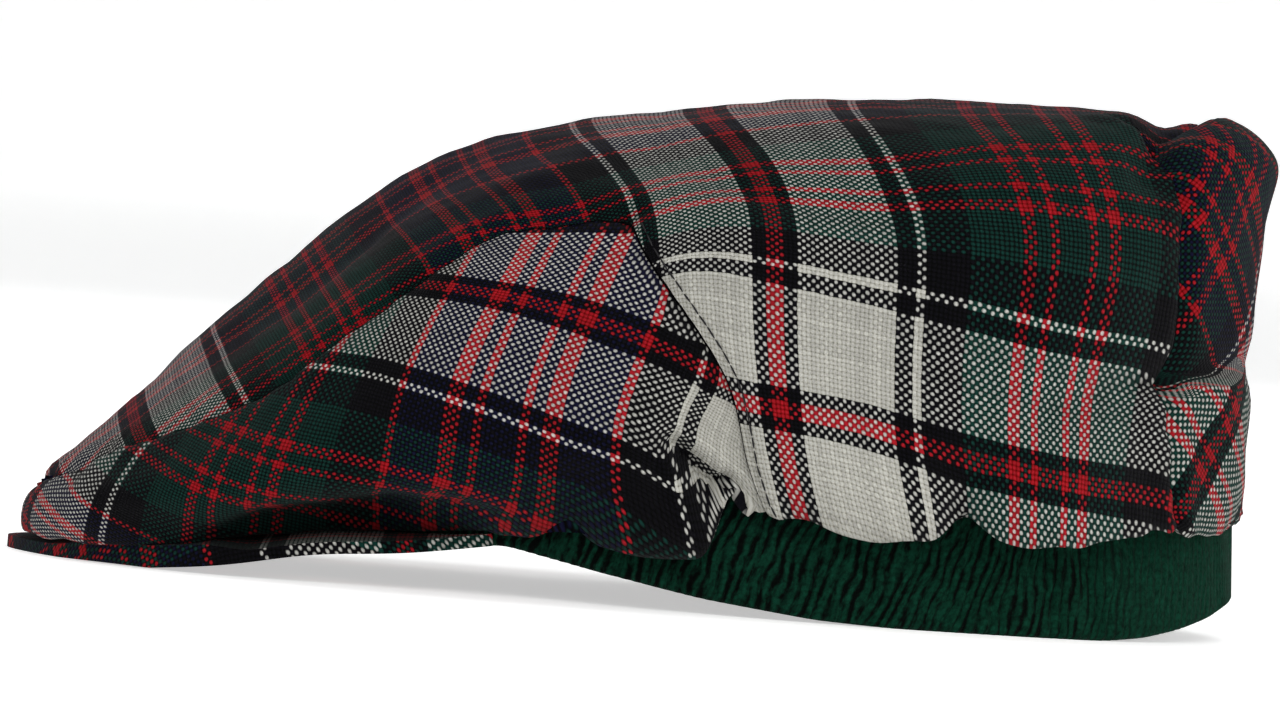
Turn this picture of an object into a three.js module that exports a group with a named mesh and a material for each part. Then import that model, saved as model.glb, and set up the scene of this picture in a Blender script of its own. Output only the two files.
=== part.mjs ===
// A flat cap of woven tartan cloth on a rib-knit band, resting on a floor at z = 0.
// Millimetres, +Z up, the peak points to -X and the wearer's left side is -Y.
// The cloth crown is four panels sewn edge to edge. They share one surface, which is lofted through a short
// table of sections, and each panel is the set of cells of that surface that its seams enclose.
import * as THREE from "three";

// Driving dimensions.
const CLOTH = 1.6; // thickness of the crown's doubled cloth wall
const KNIT = 3.4; // thickness of the knit band
const GAP = 0.3; // clearance between neighbouring pieces
const CLEAR_OF_BAND = 0.9; // from the band's line to the cloth, so that flat facets keep the gap too
const HEAD = { x: 28.5, halfLength: 102, halfWidth: 78 }; // outer line of the knit band, a 57 cm head opening
const RIB = { pitch: 2.2, depth: 0.5 }; // the knit's ribs
// The band swells out by flare between two places along x, up to flareHeight above its rim, and its rim is
// rounded by rimInset. In front of plainTo the peak and the crown hide it, and it is plain, with one station
// for every plainEvery half ribs.
const BAND = {
  flare: 1.8, flareFrom: 60, flareTo: 115, flareHeight: 5, rimInset: 1.3, plainTo: -32, plainEvery: 12,
};
// The peak rises behind riseFrom and is domed across, fully from domeTo. flatten is what rests flat.
// Its outer edge is drawn in by round to a nose, and less where the peak is narrower than fade.
const PEAK = {
  thickness: 2.6, rise: 0.145, riseFrom: -99, dome: 3, domeFrom: -134, domeTo: -85, halfWidth: 72,
  flatten: 0.4, round: 0.9, fade: 4, narrowest: 0.5, clear: 0.8, around: 44, across: 4,
};
// The crown's cloth is tucked in by reach over the peak and goes up by rise against the band. It passes from
// one to the other between two places along x.
const TUCK = { reach: 5, rise: 3.5, from: -66, to: -24 };
const DRAWN_IN = { seams: 0.75 * GAP, lowEnds: 2 * GAP }; // how far each panel's edge stands back
const POLE = [20, 0, 108.8]; // where the sections of the crown meet

// Sections of the left half of the crown, from the front middle round to the back middle. Each entry is
// [x, distance out from the middle plane, z]. lip is the lowest edge of the cloth, under the start of the
// puff above it, bulge its widest line, seam the line where the side panel ends in front and the shoulder
// behind, brow the cloth above it, slope the turn of the shoulder and top the edge of the flatter top.
const SECTIONS = [
  { at: "front middle", lip: [-130.5, 0, 4], under: [-131.4, 0, 6.5], bulge: [-131, 0, 9.5],
    seam: [-128.5, 0, 14.5], brow: [-106.5, 0, 37.5], slope: [-88, 0, 57.2], top: [-45, 0, 93] },
  { at: "front", lip: [-128, 26, 4], under: [-129, 28, 6.5], bulge: [-128.7, 28, 10.5],
    seam: [-124.5, 25, 17], brow: [-103, 25, 38], slope: [-83, 22, 58], top: [-42, 10, 93] },
  { at: "front corner", lip: [-111, 56, 4.5], under: [-113.5, 59, 8], bulge: [-115, 59, 14.5],
    seam: [-106.5, 50, 26], brow: [-88, 47, 44], slope: [-70.5, 40, 60], top: [-35.5, 20, 94] },
  { at: "peak corner", lip: [-89, 66, 6], under: [-88, 69, 9.5], bulge: [-91.5, 77, 17],
    seam: [-80, 66, 38], brow: [-69.5, 61, 55], slope: [-59.5, 52, 69], top: [-26.5, 28, 96] },
  { at: "front side", lip: [-60.5, 66, 10], under: [-60.5, 72, 15.5], bulge: [-62.5, 87, 25],
    seam: [-57.5, 74, 56], brow: [-50, 68, 70], slope: [-43, 58, 80.5], top: [-15.5, 34, 98.5] },
  { at: "temple", lip: [-20, 71, 13], under: [-24.5, 82, 19], bulge: [-31, 92, 32],
    seam: [-31, 75, 76.5], brow: [-26, 69.5, 84.5], slope: [-21.5, 60, 91], top: [-2.5, 38, 101.5] },
  { at: "pleat", lip: [16, 84, 13], under: [12, 90, 25], bulge: [4, 94, 42],
    seam: [-15.5, 75, 80.5], brow: [-12, 69.5, 88], slope: [-9, 60, 94], top: [5, 39, 103] },
  { at: "side seam", lip: [34.5, 82, 22.5], under: [30, 88, 30], bulge: [24, 93, 50],
    seam: [0, 74, 83], brow: [1.5, 68.5, 90.5], slope: [3, 60, 96], top: [12.5, 40, 104.5] },
  { at: "side", lip: [52, 85, 19], under: [50.5, 92, 27], bulge: [46, 96, 42],
    seam: [26, 76, 89], brow: [24.5, 69.5, 95.5], slope: [23, 60, 100.2], top: [27, 40, 106.3] },
  { at: "rear side", lip: [71, 84, 19], under: [70, 91, 28], bulge: [68, 94, 44],
    seam: [52.5, 76, 92], brow: [48, 68.5, 98.5], slope: [43, 59, 103.5], top: [42, 38, 108.5] },
  { at: "rear corner", lip: [96, 77, 20], under: [94.5, 83, 27.5], bulge: [92, 85, 43],
    seam: [84, 72, 95], brow: [78.5, 65, 102], slope: [71.5, 55, 106.5], top: [59, 34, 110.3] },
  { at: "back seam", lip: [115, 58, 24], under: [113.5, 61, 30], bulge: [111.5, 59, 44],
    seam: [111.5, 52, 95], brow: [108, 48, 104.5], slope: [102, 41, 110], top: [76, 26, 111.8] },
  { at: "back", lip: [127.5, 30, 23.5], under: [130, 31, 30.5], bulge: [129.5, 31, 44.5],
    seam: [129.5, 27, 96], brow: [126.5, 26, 105.5], slope: [119, 25, 110.5], top: [87, 14, 112.6] },
  { at: "back middle", lip: [132.5, 0, 27], under: [133, 0, 35], bulge: [133, 0, 46],
    seam: [134.8, 0, 100], brow: [131.8, 0, 107.2], slope: [125.5, 0, 112], top: [89, 0, 113] },
];
const LINES = ["lip", "under", "bulge", "seam", "brow", "slope", "top"];
const SECTION_STEPS = 3; // grid columns from one section to the next
const LINE_STEPS = [2, 2, 2, 5, 2, 2, 3, 3]; // grid rows from the tuck to lip, to under, and so to the pole
const rowOf = (line) => LINE_STEPS.slice(0, LINES.indexOf(line) + 1).reduce((sum, steps) => sum + steps, 0);
const LOW_ROW = rowOf("under") + 1; // below this row the cloth turns under, and its seams stand further apart
const SIDE_SEAM = SECTIONS.findIndex((row) => row.at === "side seam");
const BACK_SEAM = SECTIONS.findIndex((row) => row.at === "back seam");

// Folds and dents of the cloth. path is seen from the side, [x, z]. reach is the half width, and depth is
// inwards, so a crest has a negative depth. lift raises the cloth's edge where a gather pulls it up.
const FOLDS = [
  { name: "pleat hollow", path: [[17, 38], [24, 24]], reach: 8, depth: 4, lift: 0 },
  { name: "pleat crest", path: [[6, 36], [11, 20]], reach: 8, depth: -2.5, lift: 0 },
  { name: "shoulder valley", path: [[2, 96], [18, 94], [30, 92], [50, 90]], reach: 9, depth: 3, lift: 0 },
  { name: "rear tuck", path: [[92, 49], [113, 56]], reach: 7, depth: 3, lift: 0 },
  { name: "back gather", path: [[114, 55], [133, 60]], reach: 6, depth: 3.5, lift: 0 },
  { name: "back crest", path: [[107, 111.5], [134, 104]], reach: 6, depth: -1.5, lift: 0 },
  { name: "back dip", path: [[110, 113], [109, 102]], reach: 8, depth: 5, lift: 0 },
  { name: "back hollow", path: [[133, 70], [133, 88]], reach: 14, depth: 2, lift: 0 },
  { name: "temple gather", path: [[-10, 12], [-8, 26]], reach: 6, depth: 2.5, lift: 2 },
  { name: "rear gather", path: [[74, 18], [72, 34]], reach: 7, depth: 3.5, lift: 4 },
  { name: "front recess", path: [[-84, 9], [-50, 15]], reach: 7, depth: 2, lift: 0 },
];
const FOLD_SHARPNESS = 1.5; // how fast a fold dies away at its reach
const LIFTED_ROWS = [2, 6]; // a lift is whole below the first of these rows and gone at the second

// Height of the band's two edges along x. rim is the free edge on the floor, top the edge inside the crown.
const BAND_EDGES = [
  { x: -73.5, rim: 6.5, top: 17 },
  { x: -60, rim: 7.3, top: 18 },
  { x: -40, rim: 9.2, top: 19.5 },
  { x: -24.5, rim: 10.9, top: 21 },
  { x: -2.5, rim: 6.9, top: 24 },
  { x: 19, rim: 3.3, top: 28 },
  { x: 44, rim: 0.6, top: 30 },
  { x: 60, rim: 0, top: 30 },
  { x: 105, rim: 0, top: 31 },
  { x: 120, rim: 0.8, top: 33 },
  { x: 130.5, rim: 1.6, top: 35 },
];

// Outer edge of the peak in plan, as [x, distance out], from the front middle to the band at the temple.
const PEAK_EDGE = [
  [-134.9, 0], [-127.5, 27], [-112.5, 52], [-98.5, 64], [-85, 71], [-66, 74.5], [-45, 71.5], [-27, 66.8],
];

const smooth = (a, b, v) => THREE.MathUtils.smoothstep(v, a, b);

// The value of a column of a table of rows with an x, between its two nearest rows.
function along(rows, column, x) {
  const next = rows.findIndex((row) => row.x > x);
  const i = next < 0 ? rows.length - 1 : Math.max(next, 1);
  const low = rows[i - 1];
  const high = rows[i];
  const part = THREE.MathUtils.clamp((x - low.x) / (high.x - low.x), 0, 1);
  return low[column] + (high[column] - low[column]) * part;
}

// A closed curve through the half table and its mirror image. Its parameter is the section's number.
function closedLoop(half) {
  const left = half.map(([x, out, z]) => new THREE.Vector3(x, -out, z));
  const right = half.slice(1, -1).reverse().map(([x, out, z]) => new THREE.Vector3(x, out, z));
  const curve = new THREE.CatmullRomCurve3([...left, ...right], true, "centripetal");
  const count = left.length + right.length;
  return (section) => curve.getPoint(THREE.MathUtils.euclideanModulo(section, count) / count);
}

const loops = Object.fromEntries(LINES.map((line) => [line, closedLoop(SECTIONS.map((row) => row[line]))]));
const SECTION_COUNT = 2 * (SECTIONS.length - 1);

// The peak's underside and top. It rises towards the temples and is gently domed.
function peakUnderside(x, y) {
  const rise = PEAK.rise * Math.max(0, x - PEAK.riseFrom);
  const dome = PEAK.dome * (1 - (y / PEAK.halfWidth) ** 2) * smooth(PEAK.domeFrom, PEAK.domeTo, x);
  return Math.max(0, rise + dome - PEAK.flatten);
}
const peakTop = (x, y) => peakUnderside(x, y) + PEAK.thickness;
const peakMiddle = (x, y) => peakUnderside(x, y) + PEAK.thickness / 2;

// A point of the head opening's line, grown outwards by grow, at an angle from the back.
function onHead(angle, grow) {
  const x = HEAD.x + (HEAD.halfLength + grow) * Math.cos(angle);
  const y = (HEAD.halfWidth + grow) * Math.sin(angle);
  return [x, y];
}
const headAngle = (x, y) => Math.atan2(y / HEAD.halfWidth, (x - HEAD.x) / HEAD.halfLength);

// Where the cloth ends below: tucked in over the peak in front, and against the band at the sides and back.
function tuckPoint(lip) {
  const angle = headAngle(lip.x, lip.y);
  const [bandX, bandY] = onHead(angle, CLEAR_OF_BAND);
  const onPeak = new THREE.Vector3(0, 0, 0).sub(lip).setZ(0).setLength(TUCK.reach).add(lip);
  const atBand = new THREE.Vector3(bandX, bandY, lip.z + TUCK.rise);
  return onPeak.lerp(atBand, smooth(TUCK.from, TUCK.to, lip.x));
}

// One section curve of the crown, from the tuck to the pole and on to the far side for a level crossing.
function sectionCurve(section) {
  const points = LINES.map((line) => loops[line](section));
  const across = loops.top(section + SECTION_COUNT / 2);
  const curve = new THREE.CatmullRomCurve3(
    [tuckPoint(points[0]), ...points, new THREE.Vector3(...POLE), across], false, "centripetal");
  return (line) => curve.getPoint(line / (LINES.length + 2));
}

// Distance in the side view from a point to a fold's path.
function distanceTo(path, x, z) {
  let nearest = Infinity;
  for (let i = 0; i + 1 < path.length; i++) {
    const [[ax, az], [bx, bz]] = [path[i], path[i + 1]];
    const length2 = (bx - ax) ** 2 + (bz - az) ** 2;
    const part = THREE.MathUtils.clamp(((x - ax) * (bx - ax) + (z - az) * (bz - az)) / length2, 0, 1);
    nearest = Math.min(nearest, Math.hypot(x - ax - part * (bx - ax), z - az - part * (bz - az)));
  }
  return nearest;
}

function foldAt(point) {
  let depth = 0;
  let lift = 0;
  for (const fold of FOLDS) {
    const far = distanceTo(fold.path, point.x, point.z) / fold.reach;
    const weight = Math.exp(-FOLD_SHARPNESS * far ** 2);
    depth += fold.depth * weight;
    lift += fold.lift * weight;
  }
  return { depth, lift };
}

// The crown's grid: outer and inner points by column and row. Row 0 is the tuck and the last row the pole.
const COLUMNS = SECTION_COUNT * SECTION_STEPS;
const rowLines = [];
LINE_STEPS.forEach((steps, line) => {
  for (let i = 0; i < steps; i++) rowLines.push(line + i / steps);
});
rowLines.push(LINE_STEPS.length);
const ROWS = rowLines.length;

// Moves a point of the cloth out of the band and up from the peak. Points well inside the head opening belong
// to the far top and stay.
function clearOfNeighbours(point) {
  const scale = Math.hypot(
    (point.x - HEAD.x) / (HEAD.halfLength + CLEAR_OF_BAND), point.y / (HEAD.halfWidth + CLEAR_OF_BAND));
  const besideBand = point.z < along(BAND_EDGES, "top", point.x) + CLEAR_OF_BAND;
  if (besideBand && scale < 1) {
    point.x = HEAD.x + (point.x - HEAD.x) / scale;
    point.y = point.y / scale;
  }
  if (point.x < PEAK_EDGE.at(-1)[0]) point.z = Math.max(point.z, peakTop(point.x, point.y) + PEAK.clear);
  return point;
}

function crownGrid() {
  const base = [];
  for (let c = 0; c < COLUMNS; c++) {
    const curve = sectionCurve(c / SECTION_STEPS);
    base.push(rowLines.map((line) => curve(line)));
  }
  const column = (c) => base[THREE.MathUtils.euclideanModulo(c, COLUMNS)];
  const outer = [];
  const inner = [];
  for (let c = 0; c < COLUMNS; c++) {
    outer.push([]);
    inner.push([]);
    for (let r = 0; r < ROWS; r++) {
      const here = base[c][r];
      const round = column(c + 1)[r].clone().sub(column(c - 1)[r]);
      const up = base[c][Math.min(r + 1, ROWS - 1)].clone().sub(base[c][Math.max(r - 1, 0)]);
      const normal = r === ROWS - 1 ? new THREE.Vector3(0, 0, 1) : round.cross(up).normalize();
      const { depth, lift } = foldAt(here);
      const skin = here.clone().addScaledVector(normal, -depth);
      skin.z += lift * (1 - smooth(...LIFTED_ROWS, r));
      outer[c].push(clearOfNeighbours(skin));
      inner[c].push(clearOfNeighbours(skin.clone().addScaledVector(normal, -CLOTH)));
    }
  }
  return { outer, inner };
}

// Which panel a cell of the grid belongs to. c and r are the cell's lower corner.
function panelOf(c, r) {
  const left = c < COLUMNS / 2;
  const section = (left ? c : COLUMNS - 1 - c) / SECTION_STEPS;
  if (section < SIDE_SEAM && r < rowOf("seam")) return left ? "side_panel_left" : "side_panel_right";
  if (section >= BACK_SEAM && r < rowOf("slope")) return "back_panel";
  return "crown_top_panel";
}

// A closed wall from a set of grid cells: its outer layer, its inner layer and a strip round its edge. The
// edge is drawn in towards the middle of the cells beside it, so that panels stay apart.
function panelGeometry(grid, panel) {
  const cells = [];
  for (let c = 0; c < COLUMNS; c++)
    for (let r = 0; r + 1 < ROWS; r++) if (panelOf(c, r) === panel) cells.push([c, r]);
  const key = (c, r) => (r === ROWS - 1 ? "pole" : (c % COLUMNS) + "," + r);
  const cellsBeside = new Map();
  const edges = new Map();
  const quads = cells.map(([c, r]) => {
    const corners = [[c, r], [c, r + 1], [c + 1, r + 1], [c + 1, r]];
    corners.forEach(([cc, rr], i) => {
      const [nc, nr] = corners[(i + 1) % 4];
      const [from, to] = [key(cc, rr), key(nc, nr)];
      if (from === to) return;
      if (edges.has(to + ">" + from)) edges.delete(to + ">" + from);
      else edges.set(from + ">" + to, [from, to]);
      const list = cellsBeside.get(from) ?? [];
      list.push([c, r]);
      cellsBeside.set(from, list);
    });
    return corners.map(([cc, rr]) => key(cc, rr));
  });
  const border = new Set([...edges.values()].flat());
  const drawnIn = (name) => {
    if (name === "pole" || !border.has(name) || (name.endsWith(",0") && cellsBeside.get(name).length === 2))
      return new THREE.Vector3();
    const [c, r] = name.split(",").map(Number);
    const centre = new THREE.Vector3();
    for (const [cc, rr] of cellsBeside.get(name))
      centre.add(grid.outer[cc][rr]).add(grid.outer[(cc + 1) % COLUMNS][rr + 1]);
    centre.divideScalar(2 * cellsBeside.get(name).length).sub(grid.outer[c][r]);
    return centre.setLength(r < LOW_ROW ? DRAWN_IN.lowEnds : DRAWN_IN.seams);
  };
  const place = (layer, name) => {
    const [c, r] = name === "pole" ? [0, ROWS - 1] : name.split(",").map(Number);
    return layer[c][r].clone().add(drawnIn(name));
  };
  const index = new Map();
  const positions = [];
  for (const layer of [grid.outer, grid.inner])
    for (const name of cellsBeside.keys()) {
      index.set((layer === grid.outer ? "o" : "i") + name, positions.length / 3);
      positions.push(...place(layer, name).toArray());
    }
  const faces = [];
  const face = (...names) => {
    const ids = names.map((name) => index.get(name));
    if (new Set(ids).size === 3) faces.push(...ids);
  };
  for (const [a, b, c, d] of quads) {
    face("o" + a, "o" + c, "o" + b);
    face("o" + a, "o" + d, "o" + c);
    face("i" + a, "i" + b, "i" + c);
    face("i" + a, "i" + c, "i" + d);
  }
  for (const [a, b] of edges.values()) {
    face("o" + a, "i" + b, "i" + a);
    face("o" + a, "o" + b, "i" + b);
  }
  return solidGeometry(positions, faces);
}

function solidGeometry(positions, faces) {
  const geometry = new THREE.BufferGeometry();
  geometry.setAttribute("position", new THREE.Float32BufferAttribute(positions, 3));
  geometry.setIndex(faces);
  geometry.computeVertexNormals();
  return geometry;
}

// A ring or strip of rows of points, each row closed on the next, joined by two triangles a cell.
function ringGeometry(stations, closed) {
  const count = stations[0].length;
  const positions = stations.flat().flatMap((point) => point);
  const faces = [];
  const last = closed ? stations.length : stations.length - 1;
  for (let s = 0; s < last; s++)
    for (let i = 0; i < count; i++) {
      const next = (s + 1) % stations.length;
      const [a, b] = [s * count + i, s * count + ((i + 1) % count)];
      const [c, d] = [next * count + ((i + 1) % count), next * count + i];
      faces.push(a, b, c, a, c, d);
    }
  if (!closed)
    for (const [s, turn] of [[0, 1], [stations.length - 1, 0]])
      for (let i = 1; i + 1 < count; i++) {
        const ends = [s * count, s * count + i, s * count + i + 1];
        faces.push(...(turn ? ends.reverse() : ends));
      }
  return solidGeometry(positions, faces);
}

// The knit band: ribs where it shows, and plain in front, where the peak and the crown hide it.
function bandGeometry() {
  const perimeter = Math.PI * (HEAD.halfLength + HEAD.halfWidth);
  const ribs = Math.round(perimeter / RIB.pitch);
  const stations = [];
  for (let half = 0; half < 2 * ribs; half++) {
    const angle = (half / ribs) * Math.PI;
    const [x] = onHead(angle, 0);
    const plain = x < BAND.plainTo;
    if (plain && half % BAND.plainEvery) continue;
    const valley = half % 2 && !plain ? RIB.depth : 0;
    const rim = along(BAND_EDGES, "rim", x);
    const top = along(BAND_EDGES, "top", x);
    const flare = BAND.flare * smooth(BAND.flareFrom, BAND.flareTo, x);
    const point = (inset, z) => [...onHead(angle, -inset), z];
    stations.push([
      point(valley - flare, rim + BAND.flareHeight),
      point(BAND.rimInset + valley - flare / 2, rim),
      point(KNIT, rim),
      point(KNIT, top),
      point(valley, top),
    ]);
  }
  return ringGeometry(stations, true);
}

// The peak: a thin domed plate from the band's line out to its own edge.
function peakGeometry() {
  const edge = PEAK_EDGE.map(([x, out]) => new THREE.Vector3(x, -out, 0));
  const mirrored = PEAK_EDGE.slice(1).reverse().map(([x, out]) => new THREE.Vector3(x, out, 0));
  const curve = new THREE.CatmullRomCurve3([...mirrored, ...edge], false, "centripetal");
  const stations = [];
  for (let s = 0; s <= PEAK.around; s++) {
    const rim = curve.getPoint(s / PEAK.around);
    const [rootX, rootY] = onHead(headAngle(rim.x, rim.y), GAP);
    const width = Math.hypot(rim.x - rootX, rim.y - rootY);
    const nose = (PEAK.round * Math.min(1, width / PEAK.fade)) / Math.max(PEAK.narrowest, width);
    const at = (part, height) => {
      const x = rootX + (rim.x - rootX) * part;
      const y = rootY + (rim.y - rootY) * part;
      return [x, y, height(x, y)];
    };
    const parts = [];
    for (let i = 0; i <= PEAK.across; i++) parts.push((i / PEAK.across) * (1 - nose));
    const top = parts.map((part) => at(part, peakTop));
    const under = parts.map((part) => at(part, peakUnderside)).reverse();
    stations.push([...top, at(1, peakMiddle), ...under]);
  }
  return ringGeometry(stations, false);
}

const tartan = new THREE.MeshStandardMaterial({ color: 0x3a4a40, roughness: 0.9, metalness: 0 });
const tartanLight = new THREE.MeshStandardMaterial({ color: 0x8a8a80, roughness: 0.9, metalness: 0 });
const greenKnit = new THREE.MeshStandardMaterial({ color: 0x123c26, roughness: 0.95, metalness: 0 });

const cap = new THREE.Group();
const grid = crownGrid();
for (const panel of ["crown_top_panel", "side_panel_left", "side_panel_right", "back_panel"]) {
  const mesh = new THREE.Mesh(panelGeometry(grid, panel), panel.startsWith("side") ? tartanLight : tartan);
  mesh.name = panel;
  cap.add(mesh);
}
const band = new THREE.Mesh(bandGeometry(), greenKnit);
band.name = "knit_band";
const peak = new THREE.Mesh(peakGeometry(), tartan);
peak.name = "peak";
cap.add(band, peak);

export default cap;
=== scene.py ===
"""A woven tartan flat cap on a rib-knit band: cloth panels, peak, knit, top-stitching and a plain stage."""
import functools
import math

import bpy
import numpy as np
from mathutils import Matrix


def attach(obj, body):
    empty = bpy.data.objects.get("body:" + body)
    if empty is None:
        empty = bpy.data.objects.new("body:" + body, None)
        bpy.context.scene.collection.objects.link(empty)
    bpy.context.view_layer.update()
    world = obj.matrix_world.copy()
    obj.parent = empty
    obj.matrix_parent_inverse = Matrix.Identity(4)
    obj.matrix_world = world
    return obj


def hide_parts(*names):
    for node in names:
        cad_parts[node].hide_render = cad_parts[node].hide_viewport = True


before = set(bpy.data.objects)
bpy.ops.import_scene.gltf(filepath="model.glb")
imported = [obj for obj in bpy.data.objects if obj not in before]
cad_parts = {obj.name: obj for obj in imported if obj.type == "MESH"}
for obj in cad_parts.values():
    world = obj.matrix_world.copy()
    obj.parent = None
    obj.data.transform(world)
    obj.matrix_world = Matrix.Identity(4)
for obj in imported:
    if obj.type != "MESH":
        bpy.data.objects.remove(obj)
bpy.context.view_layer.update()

bl_info = {
    "name": "Flat cap",
    "version": (1, 0, 0),
    "blender": (4, 5, 0),
    "location": "View3D > Sidebar > Flat cap",
    "description": "Builds a woven tartan flat cap on a rib-knit band",
    "category": "Object",
}

MM = 0.001

# Driving sizes of the solids, in millimetres.
KNIT = 3.4  # thickness of the knit band
GAP = 0.3  # clearance between neighbouring pieces
CLEAR_OF_BAND = 0.9  # the same between the crown and the band
HEAD_X, HEAD_LENGTH, HEAD_WIDTH = 28.5, 102.0, 78.0  # the head opening's middle, half length and half width
POLE = (20, 0, 108.8)  # where the crown's lines meet on top
FLARE, FLARE_FROM, FLARE_TO = 1.8, 60, 115  # how far the band's rim leans out, growing between these x
# Where the cloth ends below: how far it goes in over the peak and up against the band, and the x between
# which the one passes into the other.
TUCK_REACH, TUCK_RISE, TUCK_FROM, TUCK_TO = 5, 3.5, -66, -24
# The peak: its thickness, how steeply it rises behind an x, its dome's height, the x between which the dome
# grows, its half width, how far it is pressed flat on the floor, and its clearance from the crown.
PEAK_THICKNESS, PEAK_RISE, PEAK_RISE_FROM, PEAK_DOME = 2.6, 0.145, -99, 3
PEAK_DOME_FROM, PEAK_DOME_TO, PEAK_HALF_WIDTH, PEAK_FLATTEN, PEAK_CLEAR = -134, -85, 72, 0.4, 0.8

# Sections of the left half of the crown from the front middle round to the back middle, as
# (x, distance out, z) in millimetres on each of these lines.
LINES = ("lip", "under", "bulge", "seam", "brow", "slope", "top")
SECTIONS = (
    ((-130.5, 0, 4), (-131.4, 0, 6.5), (-131, 0, 9.5), (-128.5, 0, 14.5), (-106.5, 0, 37.5),
     (-88, 0, 57.2), (-45, 0, 93)),
    ((-128, 26, 4), (-129, 28, 6.5), (-128.7, 28, 10.5), (-124.5, 25, 17), (-103, 25, 38),
     (-83, 22, 58), (-42, 10, 93)),
    ((-111, 56, 4.5), (-113.5, 59, 8), (-115, 59, 14.5), (-106.5, 50, 26), (-88, 47, 44),
     (-70.5, 40, 60), (-35.5, 20, 94)),
    ((-89, 66, 6), (-88, 69, 9.5), (-91.5, 77, 17), (-80, 66, 38), (-69.5, 61, 55),
     (-59.5, 52, 69), (-26.5, 28, 96)),
    ((-60.5, 66, 10), (-60.5, 72, 15.5), (-62.5, 87, 25), (-57.5, 74, 56), (-50, 68, 70),
     (-43, 58, 80.5), (-15.5, 34, 98.5)),
    ((-20, 71, 13), (-24.5, 82, 19), (-31, 92, 32), (-31, 75, 76.5), (-26, 69.5, 84.5),
     (-21.5, 60, 91), (-2.5, 38, 101.5)),
    ((16, 84, 13), (12, 90, 25), (4, 94, 42), (-15.5, 75, 80.5), (-12, 69.5, 88),
     (-9, 60, 94), (5, 39, 103)),
    ((34.5, 82, 22.5), (30, 88, 30), (24, 93, 50), (0, 74, 83), (1.5, 68.5, 90.5),
     (3, 60, 96), (12.5, 40, 104.5)),
    ((52, 85, 19), (50.5, 92, 27), (46, 96, 42), (26, 76, 89), (24.5, 69.5, 95.5),
     (23, 60, 100.2), (27, 40, 106.3)),
    ((71, 84, 19), (70, 91, 28), (68, 94, 44), (52.5, 76, 92), (48, 68.5, 98.5),
     (43, 59, 103.5), (42, 38, 108.5)),
    ((96, 77, 20), (94.5, 83, 27.5), (92, 85, 43), (84, 72, 95), (78.5, 65, 102),
     (71.5, 55, 106.5), (59, 34, 110.3)),
    ((115, 58, 24), (113.5, 61, 30), (111.5, 59, 44), (111.5, 52, 95), (108, 48, 104.5),
     (102, 41, 110), (76, 26, 111.8)),
    ((127.5, 30, 23.5), (130, 31, 30.5), (129.5, 31, 44.5), (129.5, 27, 96), (126.5, 26, 105.5),
     (119, 25, 110.5), (87, 14, 112.6)),
    ((132.5, 0, 27), (133, 0, 35), (133, 0, 46), (134.8, 0, 100), (131.8, 0, 107.2),
     (125.5, 0, 112), (89, 0, 113)),
)
SIDE_SEAM = 7  # the section with the slanting seam of the side panel
BACK_SEAM = 11  # the section with the back panel's seam
SECTION_COUNT = 2 * (len(SECTIONS) - 1)

# The fine grid of the cloth: columns from one section to the next, and rows from the tuck to the lip and so
# to the pole, with the power that packs an interval's rows closer to the seam.
SECTION_STEPS = 18
LINE_STEPS = (3, 5, 8, 26, 10, 8, 20, 24)
LINE_POWERS = (1, 1, 1, 1 / 1.35, 1.35, 1, 1, 1)
SEAM_ROW = sum(LINE_STEPS[:4])
SLOPE_ROW = sum(LINE_STEPS[:6])
COLUMNS = SECTION_COUNT * SECTION_STEPS
HEM_ROW = 5  # a row just above the cloth's lower edge
SIDE_CUT = SIDE_SEAM * SECTION_STEPS - 2  # the top panel's folded edge, just in front of its stitching
BACK_CUT = BACK_SEAM * SECTION_STEPS + 4  # the column of the back panel's side seam
BACK_ROW = SLOPE_ROW + 6  # the row of its upper seam
# The turned-in edges under a seam: radius of their roll and how deep its middle lies, in millimetres, and how
# many sides the roll has.
TURNED_RADIUS, TURNED_DEPTH, TURNED_SIDES = 1.0, 2.1, 8

BACK_TUCK = ((114, 55), (133, 60))  # the fold across the back, as (x, z)
# The main folds, which the solids have too, some of them a little deeper or higher there: path in the side
# view as (x, z), half width and depth inwards, and how far the cloth's edge is lifted, in millimetres.
FOLDS = (
    (((17, 38), (24, 24)), 8, 4, 0),
    (((6, 36), (11, 20)), 8, -2.5, 0),
    (((2, 96), (18, 94), (30, 92), (50, 90)), 9, 3, 0),
    (((92, 49), (113, 56)), 7, 3, 0),
    (BACK_TUCK, 6, 2, 0),
    (((107, 111.5), (134, 104)), 6, -1.5, 0),
    (((110, 113), (109, 102)), 8, 5, 0),
    (((133, 70), (133, 88)), 14, 2, 0),
    (((-10, 12), (-8, 26)), 6, 2.5, 2),
    (((74, 18), (72, 34)), 7, 3.5, 2.2),
    (((-84, 9), (-50, 15)), 7, 2, 0),
)
FOLD_SHARPNESS = 1.5
LIFTED_LINES = (0.9, 2.4)  # a lift is whole below the first of these lines and gone at the second

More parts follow.
